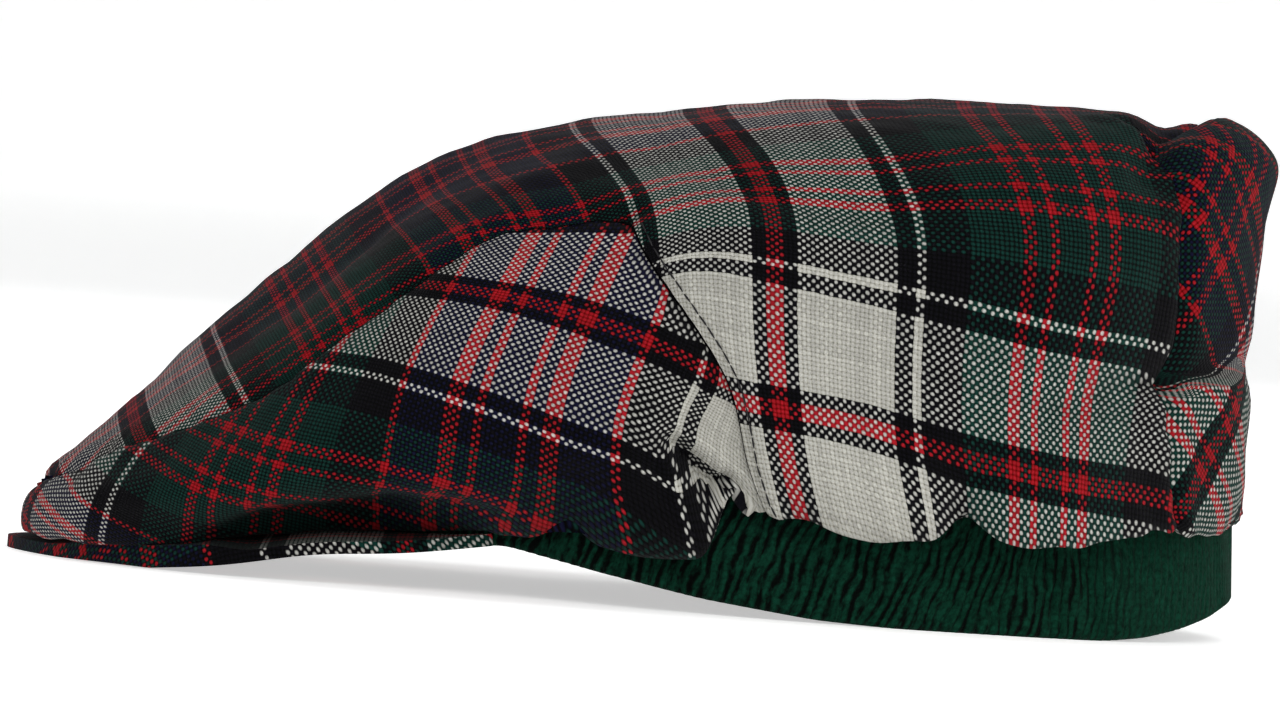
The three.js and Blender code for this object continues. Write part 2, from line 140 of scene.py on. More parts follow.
# Finer creases, which only the cloth here has: path in pixels of the photograph, half width and depth
# inwards in millimetres. A crest has a negative depth.
CREASES = (
    (((664, 458), (680, 500), (698, 548)), 2.8, -1.6),
    (((675, 449), (698, 473), (725, 503)), 2.2, 4.8),
    (((672, 444), (664, 436)), 1.6, 1.6),
    (((692, 441), (724, 466), (750, 494), (766, 507)), 3.2, -2.0),
    (((1052, 414), (1100, 398), (1156, 386)), 2.2, 1.5),
    (((1050, 402), (1100, 386), (1154, 374)), 3.0, -0.8),
    (((1168, 388), (1210, 378), (1250, 364)), 2.2, 0.8),
    (((1172, 402), (1215, 394), (1246, 384)), 3.4, -1.2),
    (((962, 530), (968, 505), (985, 478)), 3.0, 2.2),
    (((940, 540), (950, 505)), 3.2, -0.9),
    (((195, 520), (260, 500), (340, 482), (430, 475), (490, 484)), 3.6, -1.2),
    (((76, 470), (92, 455), (112, 447)), 1.3, 0.9),
    (((84, 478), (104, 462), (126, 454)), 1.3, -0.7),
    (((66, 480), (80, 470)), 1.2, 0.8),
    (((706, 160), (752, 186), (800, 196), (868, 210)), 3.0, 1.2),
    (((640, 232), (662, 262), (690, 312)), 2.2, -0.5),
    (((1165, 300), (1185, 250), (1182, 205)), 3.6, 1.3),
    (((1162, 124), (1166, 150), (1180, 185)), 3.0, 1.6),
    (((610, 400), (625, 440), (640, 500)), 5.0, 0.8),
    (((1170, 450), (1180, 490), (1178, 520)), 3.2, -1.0),
)

# Below this line, in pixels of the photograph, the cloth of the front side is folded in towards the head:
# (x, y, how far in, in millimetres). The fold is whole this many pixels below the line.
RECESS = ((200, 534, 0), (230, 517, 5), (265, 507, 8), (300, 500, 9.5), (340, 495, 10), (400, 488, 10),
          (450, 490, 9), (480, 498, 6.5), (520, 512, 0))
RECESS_BLEND = 10
# Places where the cloth's lower edge is raised or let down: x in pixels of the photograph, then reach and
# rise in millimetres.
EDGE_LIFTS = ((728, 2.6, 7.2), (742, 2.4, 3.4), (776, 3.0, -0.6), (1158, 3.0, 1.4))
# How far from the cap's middle plane, in millimetres, creases, the recess and the lifts start and are whole.
CREASE_SIDE, RECESS_SIDE, LIFT_SIDE = (6, 30), (50, 60), (20, 40)

# The cloth's unevenness: the lengths of its long and short waves in millimetres, a turn that sets the
# directions of each, and how high the short ones are beside the long ones. Below the first of the low lines
# the short ones are twice as high, and that ends at the second.
LONG_WAVES, LONG_TURN = (19, 26, 33, 41), 0.4
SHORT_WAVES, SHORT_TURN, SHORT_SHARE = (8, 10.5, 13), 1.1, 0.45
LOW_LINES = (1, 2.6)
# How the direction and start of the waves change from one to the next, in radians, and how the turn and a
# first angle enter into the direction.
WAVE_STEPS, WAVE_SHIFT = (2.1, 1.7, 1.1), 1.9
WAVE_LEAN, WAVE_START = 1.3, 0.7

# Beside a seam's groove, the soft roll: its share of the groove's depth, and its place and half width in half
# widths of the groove. Then the puckers: their share, their reach in half widths, their length in
# millimetres, and how far and how slowly it wanders.
ROLL_SHARE, ROLL_PLACE, ROLL_WIDTH = 0.3, 3.2, 1.8
PUCKER_SHARE, PUCKER_REACH, PUCKER_LENGTH, PUCKER_SWING, PUCKER_WANDER = 0.22, 4, 7.5, 2, 9
# How much deeper the lower panel lies at a seam, and how far from it that reaches, in millimetres.
UNDERLAPS = {"side": (1.1, 3.5), "back": (1.0, 4.0)}

# The knit band's two edges: x, height of the free edge and of the hidden edge inside the crown, in
# millimetres.
BAND_EDGES = (
    (-73.5, 6.5, 17), (-60, 7.3, 18), (-40, 9.2, 19.5), (-24.5, 10.9, 21), (-2.5, 6.9, 24), (19, 3.3, 28),
    (44, 0.6, 30), (60, 0, 30), (105, 0, 31), (113, 1, 32), (120, 2.8, 33), (126, 5.2, 34),
    (130.5, 8.2, 35),
)
RIM_EASE, RIM_EASINGS = (0.15, 0.7, 0.15), 60  # what smooths the free edge, and how many times
# The knit's cut, from its rim up the outside and down the inside: (inset, share of its height, millimetres
# above the rim).
BAND_CUT = (
    (2.4, 0, 0), (1.3, 0, 0), (0.5, 0, 0.5), (0.1, 0, 1.4),
    *((0, share, 0) for share in np.linspace(0.1, 1, 24)),
    *((KNIT, share, 0) for share in (1, 0.7, 0.4, 0.12)),
    (KNIT - 0.2, 0, 0.3), (2.4, 0, 0),
)
POINTS_PER_RIB = 5
# The ribs lean forward towards the rim, in ribs for each millimetre, and stand upright behind the second of
# these x. Each wavers too, slowly and quickly, by a share of a rib over a length in millimetres. The shift
# and the turns make this differ from rib to rib.
RIB_LEAN, UPRIGHT_FROM, UPRIGHT_TO = 0.13, 70, 112
SLOW_SWAY, SLOW_LENGTH, SLOW_SHIFT, SLOW_TURNS = 0.24, 5.1, 5, 3
QUICK_SWAY, QUICK_LENGTH, QUICK_SHIFT, QUICK_TURNS = 0.16, 2.3, 2.1, 0.9
# The valleys between ribs differ in depth: by this share to either side of the mean, from rib to rib by these
# turns, and upwards over this length in millimetres.
RIB_UNEVENNESS, UNEVEN_TURNS, UNEVEN_SHIFT, UNEVEN_DRIFT, UNEVEN_LENGTH = 0.4, 0.83, 1.7, 0.31, 6.3
# Round the back, growing from the first of these x to the second, the knit is stretched smooth by this share.
STRETCHED_FROM, STRETCHED_TO, STRETCHED_SHARE = 98, 116, 0.7

# Half of the peak's edge from the front middle round to the side, as (x, distance out) in millimetres.
PEAK_EDGE = (
    (-134.9, 0), (-127.5, 27), (-112.5, 52), (-98.5, 64), (-85, 71), (-66, 74.5), (-45, 71.5), (-27, 66.8),
)
# The peak's grid, the power that packs it closer to the rim, and its edge's rounding in millimetres.
PEAK_STATIONS, PEAK_ROWS, PEAK_PACKING = 220, 26, 1.5
PEAK_ROUNDING, PEAK_ROUND_STEPS = 0.9, 3
# The peak's upper face, from the first of these heights over its underside to the second, is fuller where the
# crown rests on it, between these x. The whole peak is a little higher beside the band, round this x.
FULLER, FULL_FROM, FULL_TO, UPPER_FACE = 2.1, (-124, -108), (-88, -76), (0.8, 1.8)
HIGHER, HIGH_AT, HIGH_REACH = 1.5, -64, 15

# The top-stitching: the rows that it runs over, how far on its direction is taken in millimetres, the sides
# and rings of a stitch, and in half thicknesses of the thread how far its middle lies above the cloth and its
# ends dip.
STITCHED_ROWS, LOOK_AHEAD = slice(4, SEAM_ROW - 1), 0.4
STITCH_SIDES, STITCH_RINGS = 10, 8
STITCH_RISE, STITCH_DIP = 0.5, 0.8

# The photograph's camera: pixels of its frame, millimetres a pixel at the cap, distance, turn, height and
# roll in degrees, and the point that its middle looks at.
FRAME_WIDTH, FRAME_HEIGHT = 1280, 728
PIXEL = 0.218
DISTANCE = 2500.0
CAMERA_TURN, CAMERA_HEIGHT, CAMERA_ROLL = 2.0, 1.2, 4.4
LOOK_AT = (-0.108, 0.0, 50.187)
SENSOR = 36.0

# Where threads of the cloth run on the visible left side, by thread number: pixels of the photograph.
# Warp threads of the top panel run up from the seam, and their numbers grow towards the back.
TOP_WARP = (
    (5, ((133, 405), (139, 435))),
    (32, ((200, 343), (208, 361), (215, 380), (224, 399))),
    (37, ((216, 327), (220, 345), (226, 362), (235, 380), (251, 401))),
    (59.5, ((273, 284), (284, 304), (291, 317), (307, 353))),
    (64.5, ((283, 272), (295, 294), (302, 310), (322, 343))),
    (74.5, ((307, 254), (317, 268), (323, 287), (343, 322))),
    (79.5, ((319, 243), (328, 262), (335, 276), (348, 299), (360, 311))),
    (105, ((380, 200), (388, 213), (396, 226), (413, 247), (428, 264))),
    (119, ((413, 176), (425, 189), (433, 203), (453, 226), (470, 245))),
    (124.5, ((431, 170), (441, 182), (449, 196), (471, 218), (483, 234))),
    (135.5, ((462, 157), (472, 170), (487, 188), (505, 207), (518, 222))),
    (141, ((476, 151), (491, 168), (508, 186), (528, 211), (545, 225))),
    (154.5, ((524, 137), (535, 151), (554, 175), (568, 191), (586, 219))),
    (168, ((569, 127), (592, 149), (610, 172), (630, 201), (643, 216))),
    (173, ((600, 122), (620, 151), (640, 179), (656, 217), (653, 262))),
    (195, ((682, 113), (698, 129), (716, 153), (740, 183), (750, 207), (752, 260), (755, 340), (764, 440),
           (776, 485))),
    (205, ((733, 107), (760, 147), (771, 170), (796, 195), (797, 240), (799, 330), (802, 380), (806, 440),
           (815, 505))),
    (227, ((832, 104), (850, 137), (866, 165), (884, 199), (898, 222), (899, 275), (897, 330), (896, 390),
           (897, 460))),
    (232, ((857, 106), (874, 131), (890, 157), (908, 189), (920, 213), (924, 240), (920, 275), (918, 330),
           (918, 400), (921, 460), (928, 490), (941, 530))),
    (254.5, ((968, 106), (985, 130), (1000, 150), (1025, 200), (1033, 260), (1024, 325), (1017, 376),
             (1012, 433), (1019, 465), (1012, 515))),
    (259.5, ((1000, 106), (1025, 150), (1048, 205), (1056, 265), (1043, 325), (1039, 376), (1034, 433),
             (1038, 465))),
    (269.5, ((1048, 108), (1068, 150), (1093, 205), (1099, 265), (1084, 325), (1073, 390), (1064, 444),
             (1071, 480))),
    (274.5, ((1065, 112), (1090, 150), (1113, 205), (1120, 262), (1103, 320), (1092, 376), (1083, 430),
             (1080, 500))),
)
# Weft threads of the top panel run from front to back, and their numbers grow upwards.
TOP_WEFT = (
    (59.5, ((245, 394), (262, 383), (290, 364), (307, 353), (700, 203), (740, 189), (790, 192), (830, 198),
            (890, 205), (940, 203), (1000, 202), (1050, 206), (1100, 212), (1165, 231))),
    (64.5, ((830, 189), (900, 193), (940, 188), (1000, 185), (1050, 187), (1100, 193), (1165, 205))),
    (74.5, ((880, 178), (940, 160), (1000, 158), (1050, 160), (1100, 161), (1150, 166))),
    (79.5, ((348, 299), (380, 272), (413, 247), (455, 226), (471, 218), (505, 209), (528, 211), (560, 212),
            (590, 212), (640, 180), (690, 168), (740, 173), (800, 176), (870, 167), (920, 153), (1000, 146),
            (1050, 148), (1100, 150), (1150, 152))),
    (105, ((262, 338), (291, 317), (302, 310), (323, 287), (335, 276), (396, 226), (433, 203), (449, 196),
           (487, 188), (554, 175), (600, 152), (660, 149), (700, 144), (740, 139), (770, 131), (800, 122),
           (840, 114), (880, 108))),
    (119, ((240, 335), (262, 320), (284, 304), (295, 294), (328, 262), (345, 247), (370, 228), (388, 212),
           (425, 189), (441, 182), (472, 171), (491, 168), (535, 152), (580, 141), (640, 130), (690, 119),
           (720, 113))),
    (138, ((273, 284), (283, 272), (307, 254), (319, 243), (380, 199), (413, 176), (431, 170), (462, 157),
           (476, 150), (524, 138))),
    (37, ((660, 248), (700, 253), (750, 261), (800, 268), (850, 278), (900, 290), (950, 300), (1000, 309),
          (1050, 324), (1100, 338), (1160, 352))),
    (32, ((690, 271), (750, 280), (800, 291), (850, 303), (898, 311), (930, 322), (1000, 335), (1050, 350),
          (1100, 363), (1155, 378))),
    (10, ((730, 379), (755, 382), (800, 391), (860, 402), (896, 413), (926, 424), (1010, 442), (1117, 461),
          (1152, 465))),
    (5, ((778, 408), (849, 420), (896, 431), (960, 454), (1017, 466), (1081, 479), (1152, 490))),
    (0, ((814, 433), (896, 458), (974, 488), (1046, 507), (1117, 521), (1152, 526))),
)
# Warp threads of the left side panel run up and back, and their numbers grow towards the back.
SIDE_WARP = (
    (32, ((132, 442), (122, 460), (110, 475), (98, 495), (90, 512), (87, 533))),
    (37, ((155, 433), (143, 447), (135, 460), (118, 485), (105, 508), (104, 525), (108, 540))),
    (59.5, ((232, 428), (219, 443), (203, 470), (195, 487), (188, 520))),
    (64.5, ((243, 433), (230, 448), (217, 482), (213, 495))),
    (74.5, ((267, 441), (260, 458), (255, 492))),
    (79.5, ((362, 312), (345, 335), (333, 352), (320, 375), (309, 400), (297, 425), (286, 447), (278, 466),
            (280, 525))),
    (105, ((443, 300), (430, 320), (419, 343), (410, 362), (402, 385), (396, 410), (392, 440), (386, 478),
           (374, 505), (381, 527))),
    (119, ((535, 232), (520, 260), (503, 290), (489, 315), (474, 350), (460, 382), (450, 410), (446, 455),
           (443, 484), (424, 504), (434, 530))),
    (124.5, ((558, 238), (545, 260), (527, 293), (512, 320), (499, 350), (486, 378), (480, 415), (475, 470),
             (449, 506), (459, 532))),
    (135.5, ((603, 232), (590, 262), (567, 308), (556, 332), (543, 370), (533, 400), (525, 440), (518, 478),
             (494, 510), (506, 534))),
    (141, ((630, 230), (610, 265), (588, 317), (579, 342), (565, 380), (553, 418), (552, 450), (556, 488),
           (566, 528))),
    (154.5, ((667, 292), (655, 319), (646, 340), (638, 358), (624, 395), (610, 435), (612, 460), (619, 505),
             (629, 546))),
    (168, ((702, 382), (685, 418), (673, 452), (680, 485), (688, 521), (692, 550))),
    (173, ((720, 398), (712, 425), (700, 437), (688, 443))),
    (188, ((728, 430), (748, 468), (768, 506))),
    (14, ((27, 525), (31, 503), (43, 487))),
)
# Weft threads of the left side panel run from front to back, and their numbers grow downwards.
SIDE_WEFT = (
    (-22, ((497, 245), (560, 236), (625, 226))),
    (0, ((513, 278), (579, 297), (625, 316), (659, 329), (688, 345))),
    (5, ((456, 282), (506, 292), (566, 310), (587, 316), (645, 338), (695, 359))),
    (10, ((400, 292), (463, 302), (513, 317), (552, 330), (612, 352), (665, 372), (692, 382))),
    (20, ((724, 438), (742, 464))),
    (27, ((744, 487), (766, 504))),
    (32, ((345, 352), (380, 361), (413, 371), (463, 385), (529, 408), (579, 425), (612, 438), (672, 458))),
    (34, ((690, 452), (706, 466), (726, 484), (748, 504))),
    (37, ((318, 366), (365, 373), (398, 383), (456, 405), (526, 427), (566, 442), (612, 458), (655, 477),
          (682, 488))),
    (42, ((704, 494), (713, 508))),
    (45, ((652, 530), (684, 538))),
    (52, ((572, 526), (600, 538), (628, 547))),
    (59.5, ((200, 418), (215, 424), (232, 429), (285, 447), (332, 457), (388, 473), (441, 484), (480, 488))),
    (64.5, ((185, 420), (219, 443), (260, 458), (279, 465), (332, 472), (385, 481))),
    (74.5, ((160, 441), (190, 464), (203, 471), (217, 481), (254, 492))),
    (79.5, ((143, 450), (160, 465), (180, 480), (196, 487), (213, 495), (257, 507))),
    (105, ((67, 478), (78, 495), (90, 508), (104, 516), (116, 523), (132, 530), (150, 537))),
    (119, ((60, 520), (75, 532), (88, 541))),
)
# The weft number along the cap's middle, by x. From the visible side it goes on growing to the far side.
MIDDLE_WEFT = ((60, 155), (85, 148), (110, 135), (125, 130))
THREADS_PER_MM = 1.04  # on the back panel and the peak, whose thread numbers follow distances
REAR_CORNER = 100  # x of the top's rear corner in millimetres
REAR_SIDE = (20, 60)  # how far from the middle plane the rear corner starts and is whole
MIDDLE_DEGREE = 3  # of the smooth curve of weft numbers along the middle
ROW_STRIDE = 6  # rows between the points of a line that the fits are given
# The last column of the front side that the photograph shows, and how the thread numbers of the side panels
# change for each millimetre from there to the middle of the nose.
NOSE_COLUMN = 23
NOSE_WARP_SLANT, NOSE_WEFT_SLANT = -0.9, 0.5
# The turned-in edges take this black thread all over, as painted shade in the seams.
BLACK_THREAD = 98.5  # the middle of a thread in a wide black stripe
# On the back panel the cloth is on the bias: counts at its left seam's foot.
BIAS_WARP, BIAS_WEFT = 22, 60
ROUND_ROW = sum(LINE_STEPS[:3]) + 13  # the row on which the back panel is measured round
# How much cloth is tucked into the fold across the back, and the fold's half width, in millimetres.
TUCKED_CLOTH, TUCK_BLEND = 32, 1.5
# On the peak: the warp number at the cap's middle, the weft number along it, and how far the warp numbers
# change with the height too.
PEAK_WARP, PEAK_WEFT, PEAK_SLANT = 243, 114, 0.3
# The smooth fit of the thread numbers: how loosely it holds to its marks and its unit in millimetres. A
# mark's place comes from this many vertices, weighed by the square of their distance in pixels plus the
# softening, and a slant counts no further than the least facing.
FIT_SMOOTHING, FIT_UNIT = 4e-3, 100
NEAREST, SOFTENING, LEAST_FACING = 4, 0.5, 0.15
UV_SCALE = 100  # threads to one unit of the UV map
CHUNK = 8192  # points whose distances to a line are worked out together
MERGE_DISTANCE = 0.001 * MM
LEAST = 1e-6  # a length in millimetres or a share, so that no division is by zero
# The angle past which an edge stays sharp, in degrees, on cloth and on rolls, ribs and stitches.
CLOTH_SHARP, ROUND_SHARP = 50, 80

# A colour ramp is read in 255 steps, each from its lower end, so a thread's colour is looked up near its
# far edge.
RAMP_LOOKUP = 0.88
# The tartan's sett, the same both ways: the thread at which each colour starts, out of 195.
SETT_THREADS = 195
SETT = (
    (0, "black"), (3, "red"), (7, "black"), (10, "cream"), (32, "black"), (36, "cream"), (38, "black"),
    (47, "green"), (58, "red"), (61, "green"), (64, "red"), (66, "green"), (73, "red"), (75, "green"),
    (78, "red"), (81, "green"), (92, "black"), (104, "red"), (106, "navy"), (117, "red"), (121, "navy"),
    (124, "red"), (126, "navy"), (134, "red"), (136, "navy"), (139, "red"), (143, "navy"), (154, "red"),
    (156, "black"), (167, "cream"), (169, "black"), (173, "cream"),
)


def linear(hex_colour):
    """An sRGB hex colour as linear red, green, blue and alpha."""
    channels = [int(hex_colour[i:i + 2], 16) / 255 for i in (0, 2, 4)]
    values = [c / 12.92 if c <= 0.04045 else ((c + 0.055) / 1.055) ** 2.4 for c in channels]
    return (*values, 1.0)


def smooth(low, high, value):
    """A smooth step from 0 at the low value to 1 at the high one."""
    part = np.clip((np.asarray(value, float) - low) / (high - low), 0, 1)
    return part * part * (3 - 2 * part)


def camera_axes():
    """The camera's place, its view direction, and its right and up directions, in millimetres."""
    turn, height, roll = (math.radians(a) for a in (CAMERA_TURN, CAMERA_HEIGHT, CAMERA_ROLL))
    forward = np.array([-math.sin(turn), math.cos(turn), 0.0])
    ahead = math.cos(height) * forward - np.array([0.0, 0.0, math.sin(height)])
    level = np.array([math.cos(turn), math.sin(turn), 0.0])
    above = np.cross(level, ahead)
    right = math.cos(roll) * level + math.sin(roll) * above
    up = -math.sin(roll) * level + math.cos(roll) * above
    return np.array(LOOK_AT) - DISTANCE * ahead, ahead, right, up


def project(points):
    """Pixels of the photograph at which points in millimetres show."""
    place, ahead, right, up = camera_axes()
    ray = points - place
    scale = DISTANCE / PIXEL / (ray @ ahead)
    return np.stack([FRAME_WIDTH / 2 + (ray @ right) * scale, FRAME_HEIGHT / 2 - (ray @ up) * scale], -1)


def catmull(p0, p1, p2, p3, t):
    """Points of a centripetal curve between p1 and p2."""
    squares = (((b - a) ** 2).sum(-1, keepdims=True) for a, b in ((p0, p1), (p1, p2), (p2, p3)))
    d0, d1, d2 = (np.maximum(square, LEAST**2) ** 0.25 for square in squares)
    m1 = ((p1 - p0) / d0 - (p2 - p0) / (d0 + d1) + (p2 - p1) / d1) * d1
    m2 = ((p2 - p1) / d1 - (p3 - p1) / (d1 + d2) + (p3 - p2) / d2) * d1
    return p1 + m1 * t + (3 * (p2 - p1) - 2 * m1 - m2) * t**2 + (2 * (p1 - p2) + m1 + m2) * t**3


def closed_loop(line, sections):
    """Points of one line round the cap at the given section numbers."""
    half = np.array([row[line] for row in SECTIONS], float)
    points = np.concatenate([half * (1, -1, 1), half[1:-1][::-1]])
    i = np.floor(sections).astype(int)
    near = [points[(i + k) % len(points)] for k in (-1, 0, 1, 2)]
    return catmull(*near, (sections - i)[:, None])


def on_head(angle, grow):
    """x and y of the head opening's line, grown outwards, at an angle from the back."""
    return HEAD_X + (HEAD_LENGTH + grow) * np.cos(angle), (HEAD_WIDTH + grow) * np.sin(angle)


def tucks(lip):
    """Where the cloth ends below: over the peak in front, against the band at the sides and back."""
    angle = np.arctan2(lip[:, 1] / HEAD_WIDTH, (lip[:, 0] - HEAD_X) / HEAD_LENGTH)
    at_band = np.stack([*on_head(angle, CLEAR_OF_BAND), lip[:, 2] + TUCK_RISE], -1)
    inwards = -lip * (1, 1, 0)
    over_peak = lip + inwards * TUCK_REACH / np.linalg.norm(inwards, axis=1, keepdims=True)
    part = smooth(TUCK_FROM, TUCK_TO, lip[:, 0])[:, None]
    return over_peak * (1 - part) + at_band * part


def base_grid(sections, rows):
    """The crown's smooth surface before its folds, by section number and line number."""
    points = [closed_loop(line, sections) for line in range(len(LINES))]
    across = closed_loop(LINES.index("top"), sections + SECTION_COUNT / 2)
    pole = np.broadcast_to(np.array(POLE, float), points[0].shape)
    knots = [tucks(points[0]), *points, pole, across]
    knots = [2 * knots[0] - knots[1], *knots]
    grid = np.zeros((len(sections), len(rows), 3))
    for r, row in enumerate(rows):
        i = min(int(row), len(knots) - 4)
        grid[:, r] = catmull(*knots[i:i + 4], row - i)
    return grid


def row_lines():
    """The line number of each row of the fine grid."""
    rows = []
    for line, (steps, power) in enumerate(zip(LINE_STEPS, LINE_POWERS)):
        parts = np.arange(steps) / steps
        packed = parts**power if power >= 1 else 1 - (1 - parts) ** (1 / power)
        rows.extend(line + packed)
    return np.array([*rows, len(LINE_STEPS)])


def path_distance(path, points):
    """Distance from points in a plane to a polyline."""
    nearest = np.full(points.shape[:-1], np.inf)
    for start, end in zip(np.array(path[:-1], float), np.array(path[1:], float)):
        step = end - start
        part = np.clip(((points - start) @ step) / (step @ step), 0, 1)
        nearest = np.minimum(nearest, np.linalg.norm(points - start - part[..., None] * step, axis=-1))
    return nearest


def nearest_on(line, points):
    """Distance from each point to a row of close 3D points, and how far along it the nearest one lies."""
    along = np.concatenate([[0], np.cumsum(np.linalg.norm(np.diff(line, axis=0), axis=1))])
    flat = points.reshape(-1, 3)
    far = np.empty(len(flat))
    place = np.empty(len(flat))
    for start in range(0, len(flat), CHUNK):
        part = flat[start:start + CHUNK]
        squares = (part**2).sum(1)[:, None] - 2 * part @ line.T + (line**2).sum(1)
        far[start:start + CHUNK] = np.sqrt(np.maximum(squares.min(1), 0))
        place[start:start + CHUNK] = along[squares.argmin(1)]
    return far.reshape(points.shape[:-1]), place.reshape(points.shape[:-1])


def waves(points, waves_mm, turn):
    """A soft, fixed unevenness between -1 and 1 over 3D points, from waves that cross."""
    total = np.zeros(points.shape[:-1])
    for i, length in enumerate(waves_mm):
        x, y, z = (step * i for step in WAVE_STEPS)
        heading = np.array([math.cos(turn + x), math.sin(WAVE_LEAN * turn + y), math.cos(WAVE_START + z)])
        phase = points @ heading * 2 * math.pi / length / np.linalg.norm(heading)
        total += np.sin(phase + WAVE_SHIFT * i + turn)
    return total / len(waves_mm)


def peak_underside(x, y):
    """Height of the peak's underside, in millimetres."""
    rise = PEAK_RISE * np.maximum(0, x - PEAK_RISE_FROM)
    dome = PEAK_DOME * (1 - (y / PEAK_HALF_WIDTH) ** 2) * smooth(PEAK_DOME_FROM, PEAK_DOME_TO, x)
    return np.maximum(0, rise + dome - PEAK_FLATTEN)


def clear_of_neighbours(points):
    """Moves cloth out of the knit band and up from the peak, in millimetres."""
    points = points.copy()
    x, y = points[..., 0] - HEAD_X, points[..., 1]
    scale = np.hypot(x / (HEAD_LENGTH + CLEAR_OF_BAND), y / (HEAD_WIDTH + CLEAR_OF_BAND))
    edges = np.array(BAND_EDGES)
    top_of_band = np.interp(points[..., 0], edges[:, 0], edges[:, 2]) + CLEAR_OF_BAND
    inside = (points[..., 2] < top_of_band) & (scale < 1)
    grow = np.where(inside, 1 / np.maximum(scale, LEAST), 1)
    points[..., 0] = HEAD_X + x * grow
    points[..., 1] = y * grow
    floor = peak_underside(points[..., 0], points[..., 1]) + PEAK_THICKNESS + PEAK_CLEAR
    over_peak = points[..., 0] < PEAK_EDGE[-1][0]
    points[..., 2] = np.where(over_peak, np.maximum(points[..., 2], floor), points[..., 2])
    return points


def mirrored(field):
    """Copies the left half's columns to the right half."""
    order = np.arange(COLUMNS)
    order = np.where(order <= COLUMNS // 2, order, COLUMNS - order)
    return field[order]


def seam_lines(base):
    """The lines of the seams over the base, on both sides of the cap."""
    seams = {"side": [], "top": [], "back": []}
    for side in (1, -1):
        order = np.arange(COLUMNS // 2 + 1) * side % COLUMNS
        seams["top"].append(base[order[:SIDE_CUT + 1], SEAM_ROW])
        seams["side"].append(base[order[SIDE_CUT], :SEAM_ROW + 1])
        seams["back"].append(base[order[BACK_CUT], :BACK_ROW + 1])
    seams["back"].append(base[np.arange(BACK_CUT, COLUMNS - BACK_CUT + 1), BACK_ROW])
    return seams


@functools.lru_cache
def crown_surface(seam_depth, seam_width, unevenness):
    """The cloth's outer surface in millimetres for each panel, its smooth base and its outward directions."""
    sections = np.arange(COLUMNS) / SECTION_STEPS
    rows = row_lines()
    base = base_grid(sections, rows)
    normal = np.cross(np.roll(base, -1, 0) - np.roll(base, 1, 0), np.gradient(base, axis=1))
    normal /= np.maximum(np.linalg.norm(normal, axis=2, keepdims=True), LEAST)
    normal[:, -1] = (0, 0, 1)
    depth = np.zeros(base.shape[:2])
    lift = np.zeros(base.shape[:2])
    for path, reach, deep, raised in FOLDS:
        weight = np.exp(-FOLD_SHARPNESS * (path_distance(path, base[..., (0, 2)]) / reach) ** 2)
        depth += deep * weight
        lift += raised * weight
    seen = project(base)
    for path, reach, deep in CREASES:
        far = path_distance(path, seen) * PIXEL / reach
        depth += deep * mirrored(np.exp(-(far**2))) * smooth(*CREASE_SIDE, np.abs(base[..., 1]))
    recess = np.array(RECESS, float)
    below = seen[..., 1] - np.interp(seen[..., 0], recess[:, 0], recess[:, 1])
    inwards = np.interp(seen[..., 0], recess[:, 0], recess[:, 2]) * smooth(0, RECESS_BLEND, below)
    inwards = mirrored(inwards * smooth(*RECESS_SIDE, -base[..., 1]))
    for spot, reach, raised in EDGE_LIFTS:
        far = (seen[..., 0] - spot) * PIXEL / reach
        lift += raised * mirrored(np.exp(-(far**2)) * smooth(*LIFT_SIDE, -base[..., 1]))
    low = 1 - smooth(*LOW_LINES, rows)[None, :]
    depth += unevenness * waves(base, LONG_WAVES, LONG_TURN)
    depth += SHORT_SHARE * unevenness * waves(base, SHORT_WAVES, SHORT_TURN) * (1 + low)

    # Seams: a groove where the panels meet, a soft roll beside it and small puckers along it.
    far_from = {}
    for name, lines in seam_lines(base).items():
        found = [nearest_on(line, base) for line in lines]
        far = np.min([f for f, _ in found], axis=0)
        along = np.where(found[0][0] < found[1][0], found[0][1], found[1][1])
        far_from[name] = far
        depth += seam_depth * np.exp(-((far / seam_width) ** 2))
        beside = (far - ROLL_PLACE * seam_width) / (ROLL_WIDTH * seam_width)
        depth -= ROLL_SHARE * seam_depth * np.exp(-(beside**2))
        wander = PUCKER_SWING * np.sin(along / PUCKER_WANDER)
        fading = np.exp(-((far / (PUCKER_REACH * seam_width)) ** 2))
        depth += PUCKER_SHARE * seam_depth * (np.sin(along * 2 * math.pi / PUCKER_LENGTH + wander) * fading)
    lift *= 1 - smooth(*LIFTED_LINES, rows)[None, :]
    grids = {}
    for panel in ("top", "side", "back"):
        deep = depth.copy()
        if panel in UNDERLAPS:
            deeper, reach = UNDERLAPS[panel]
            deep += deeper * np.exp(-((far_from[panel] / reach) ** 2))
        skin = base - normal * deep[..., None]
        skin[..., 2] += lift
        skin[..., 1] -= np.sign(skin[..., 1]) * inwards
        grids[panel] = clear_of_neighbours(skin)
    return base, normal, grids


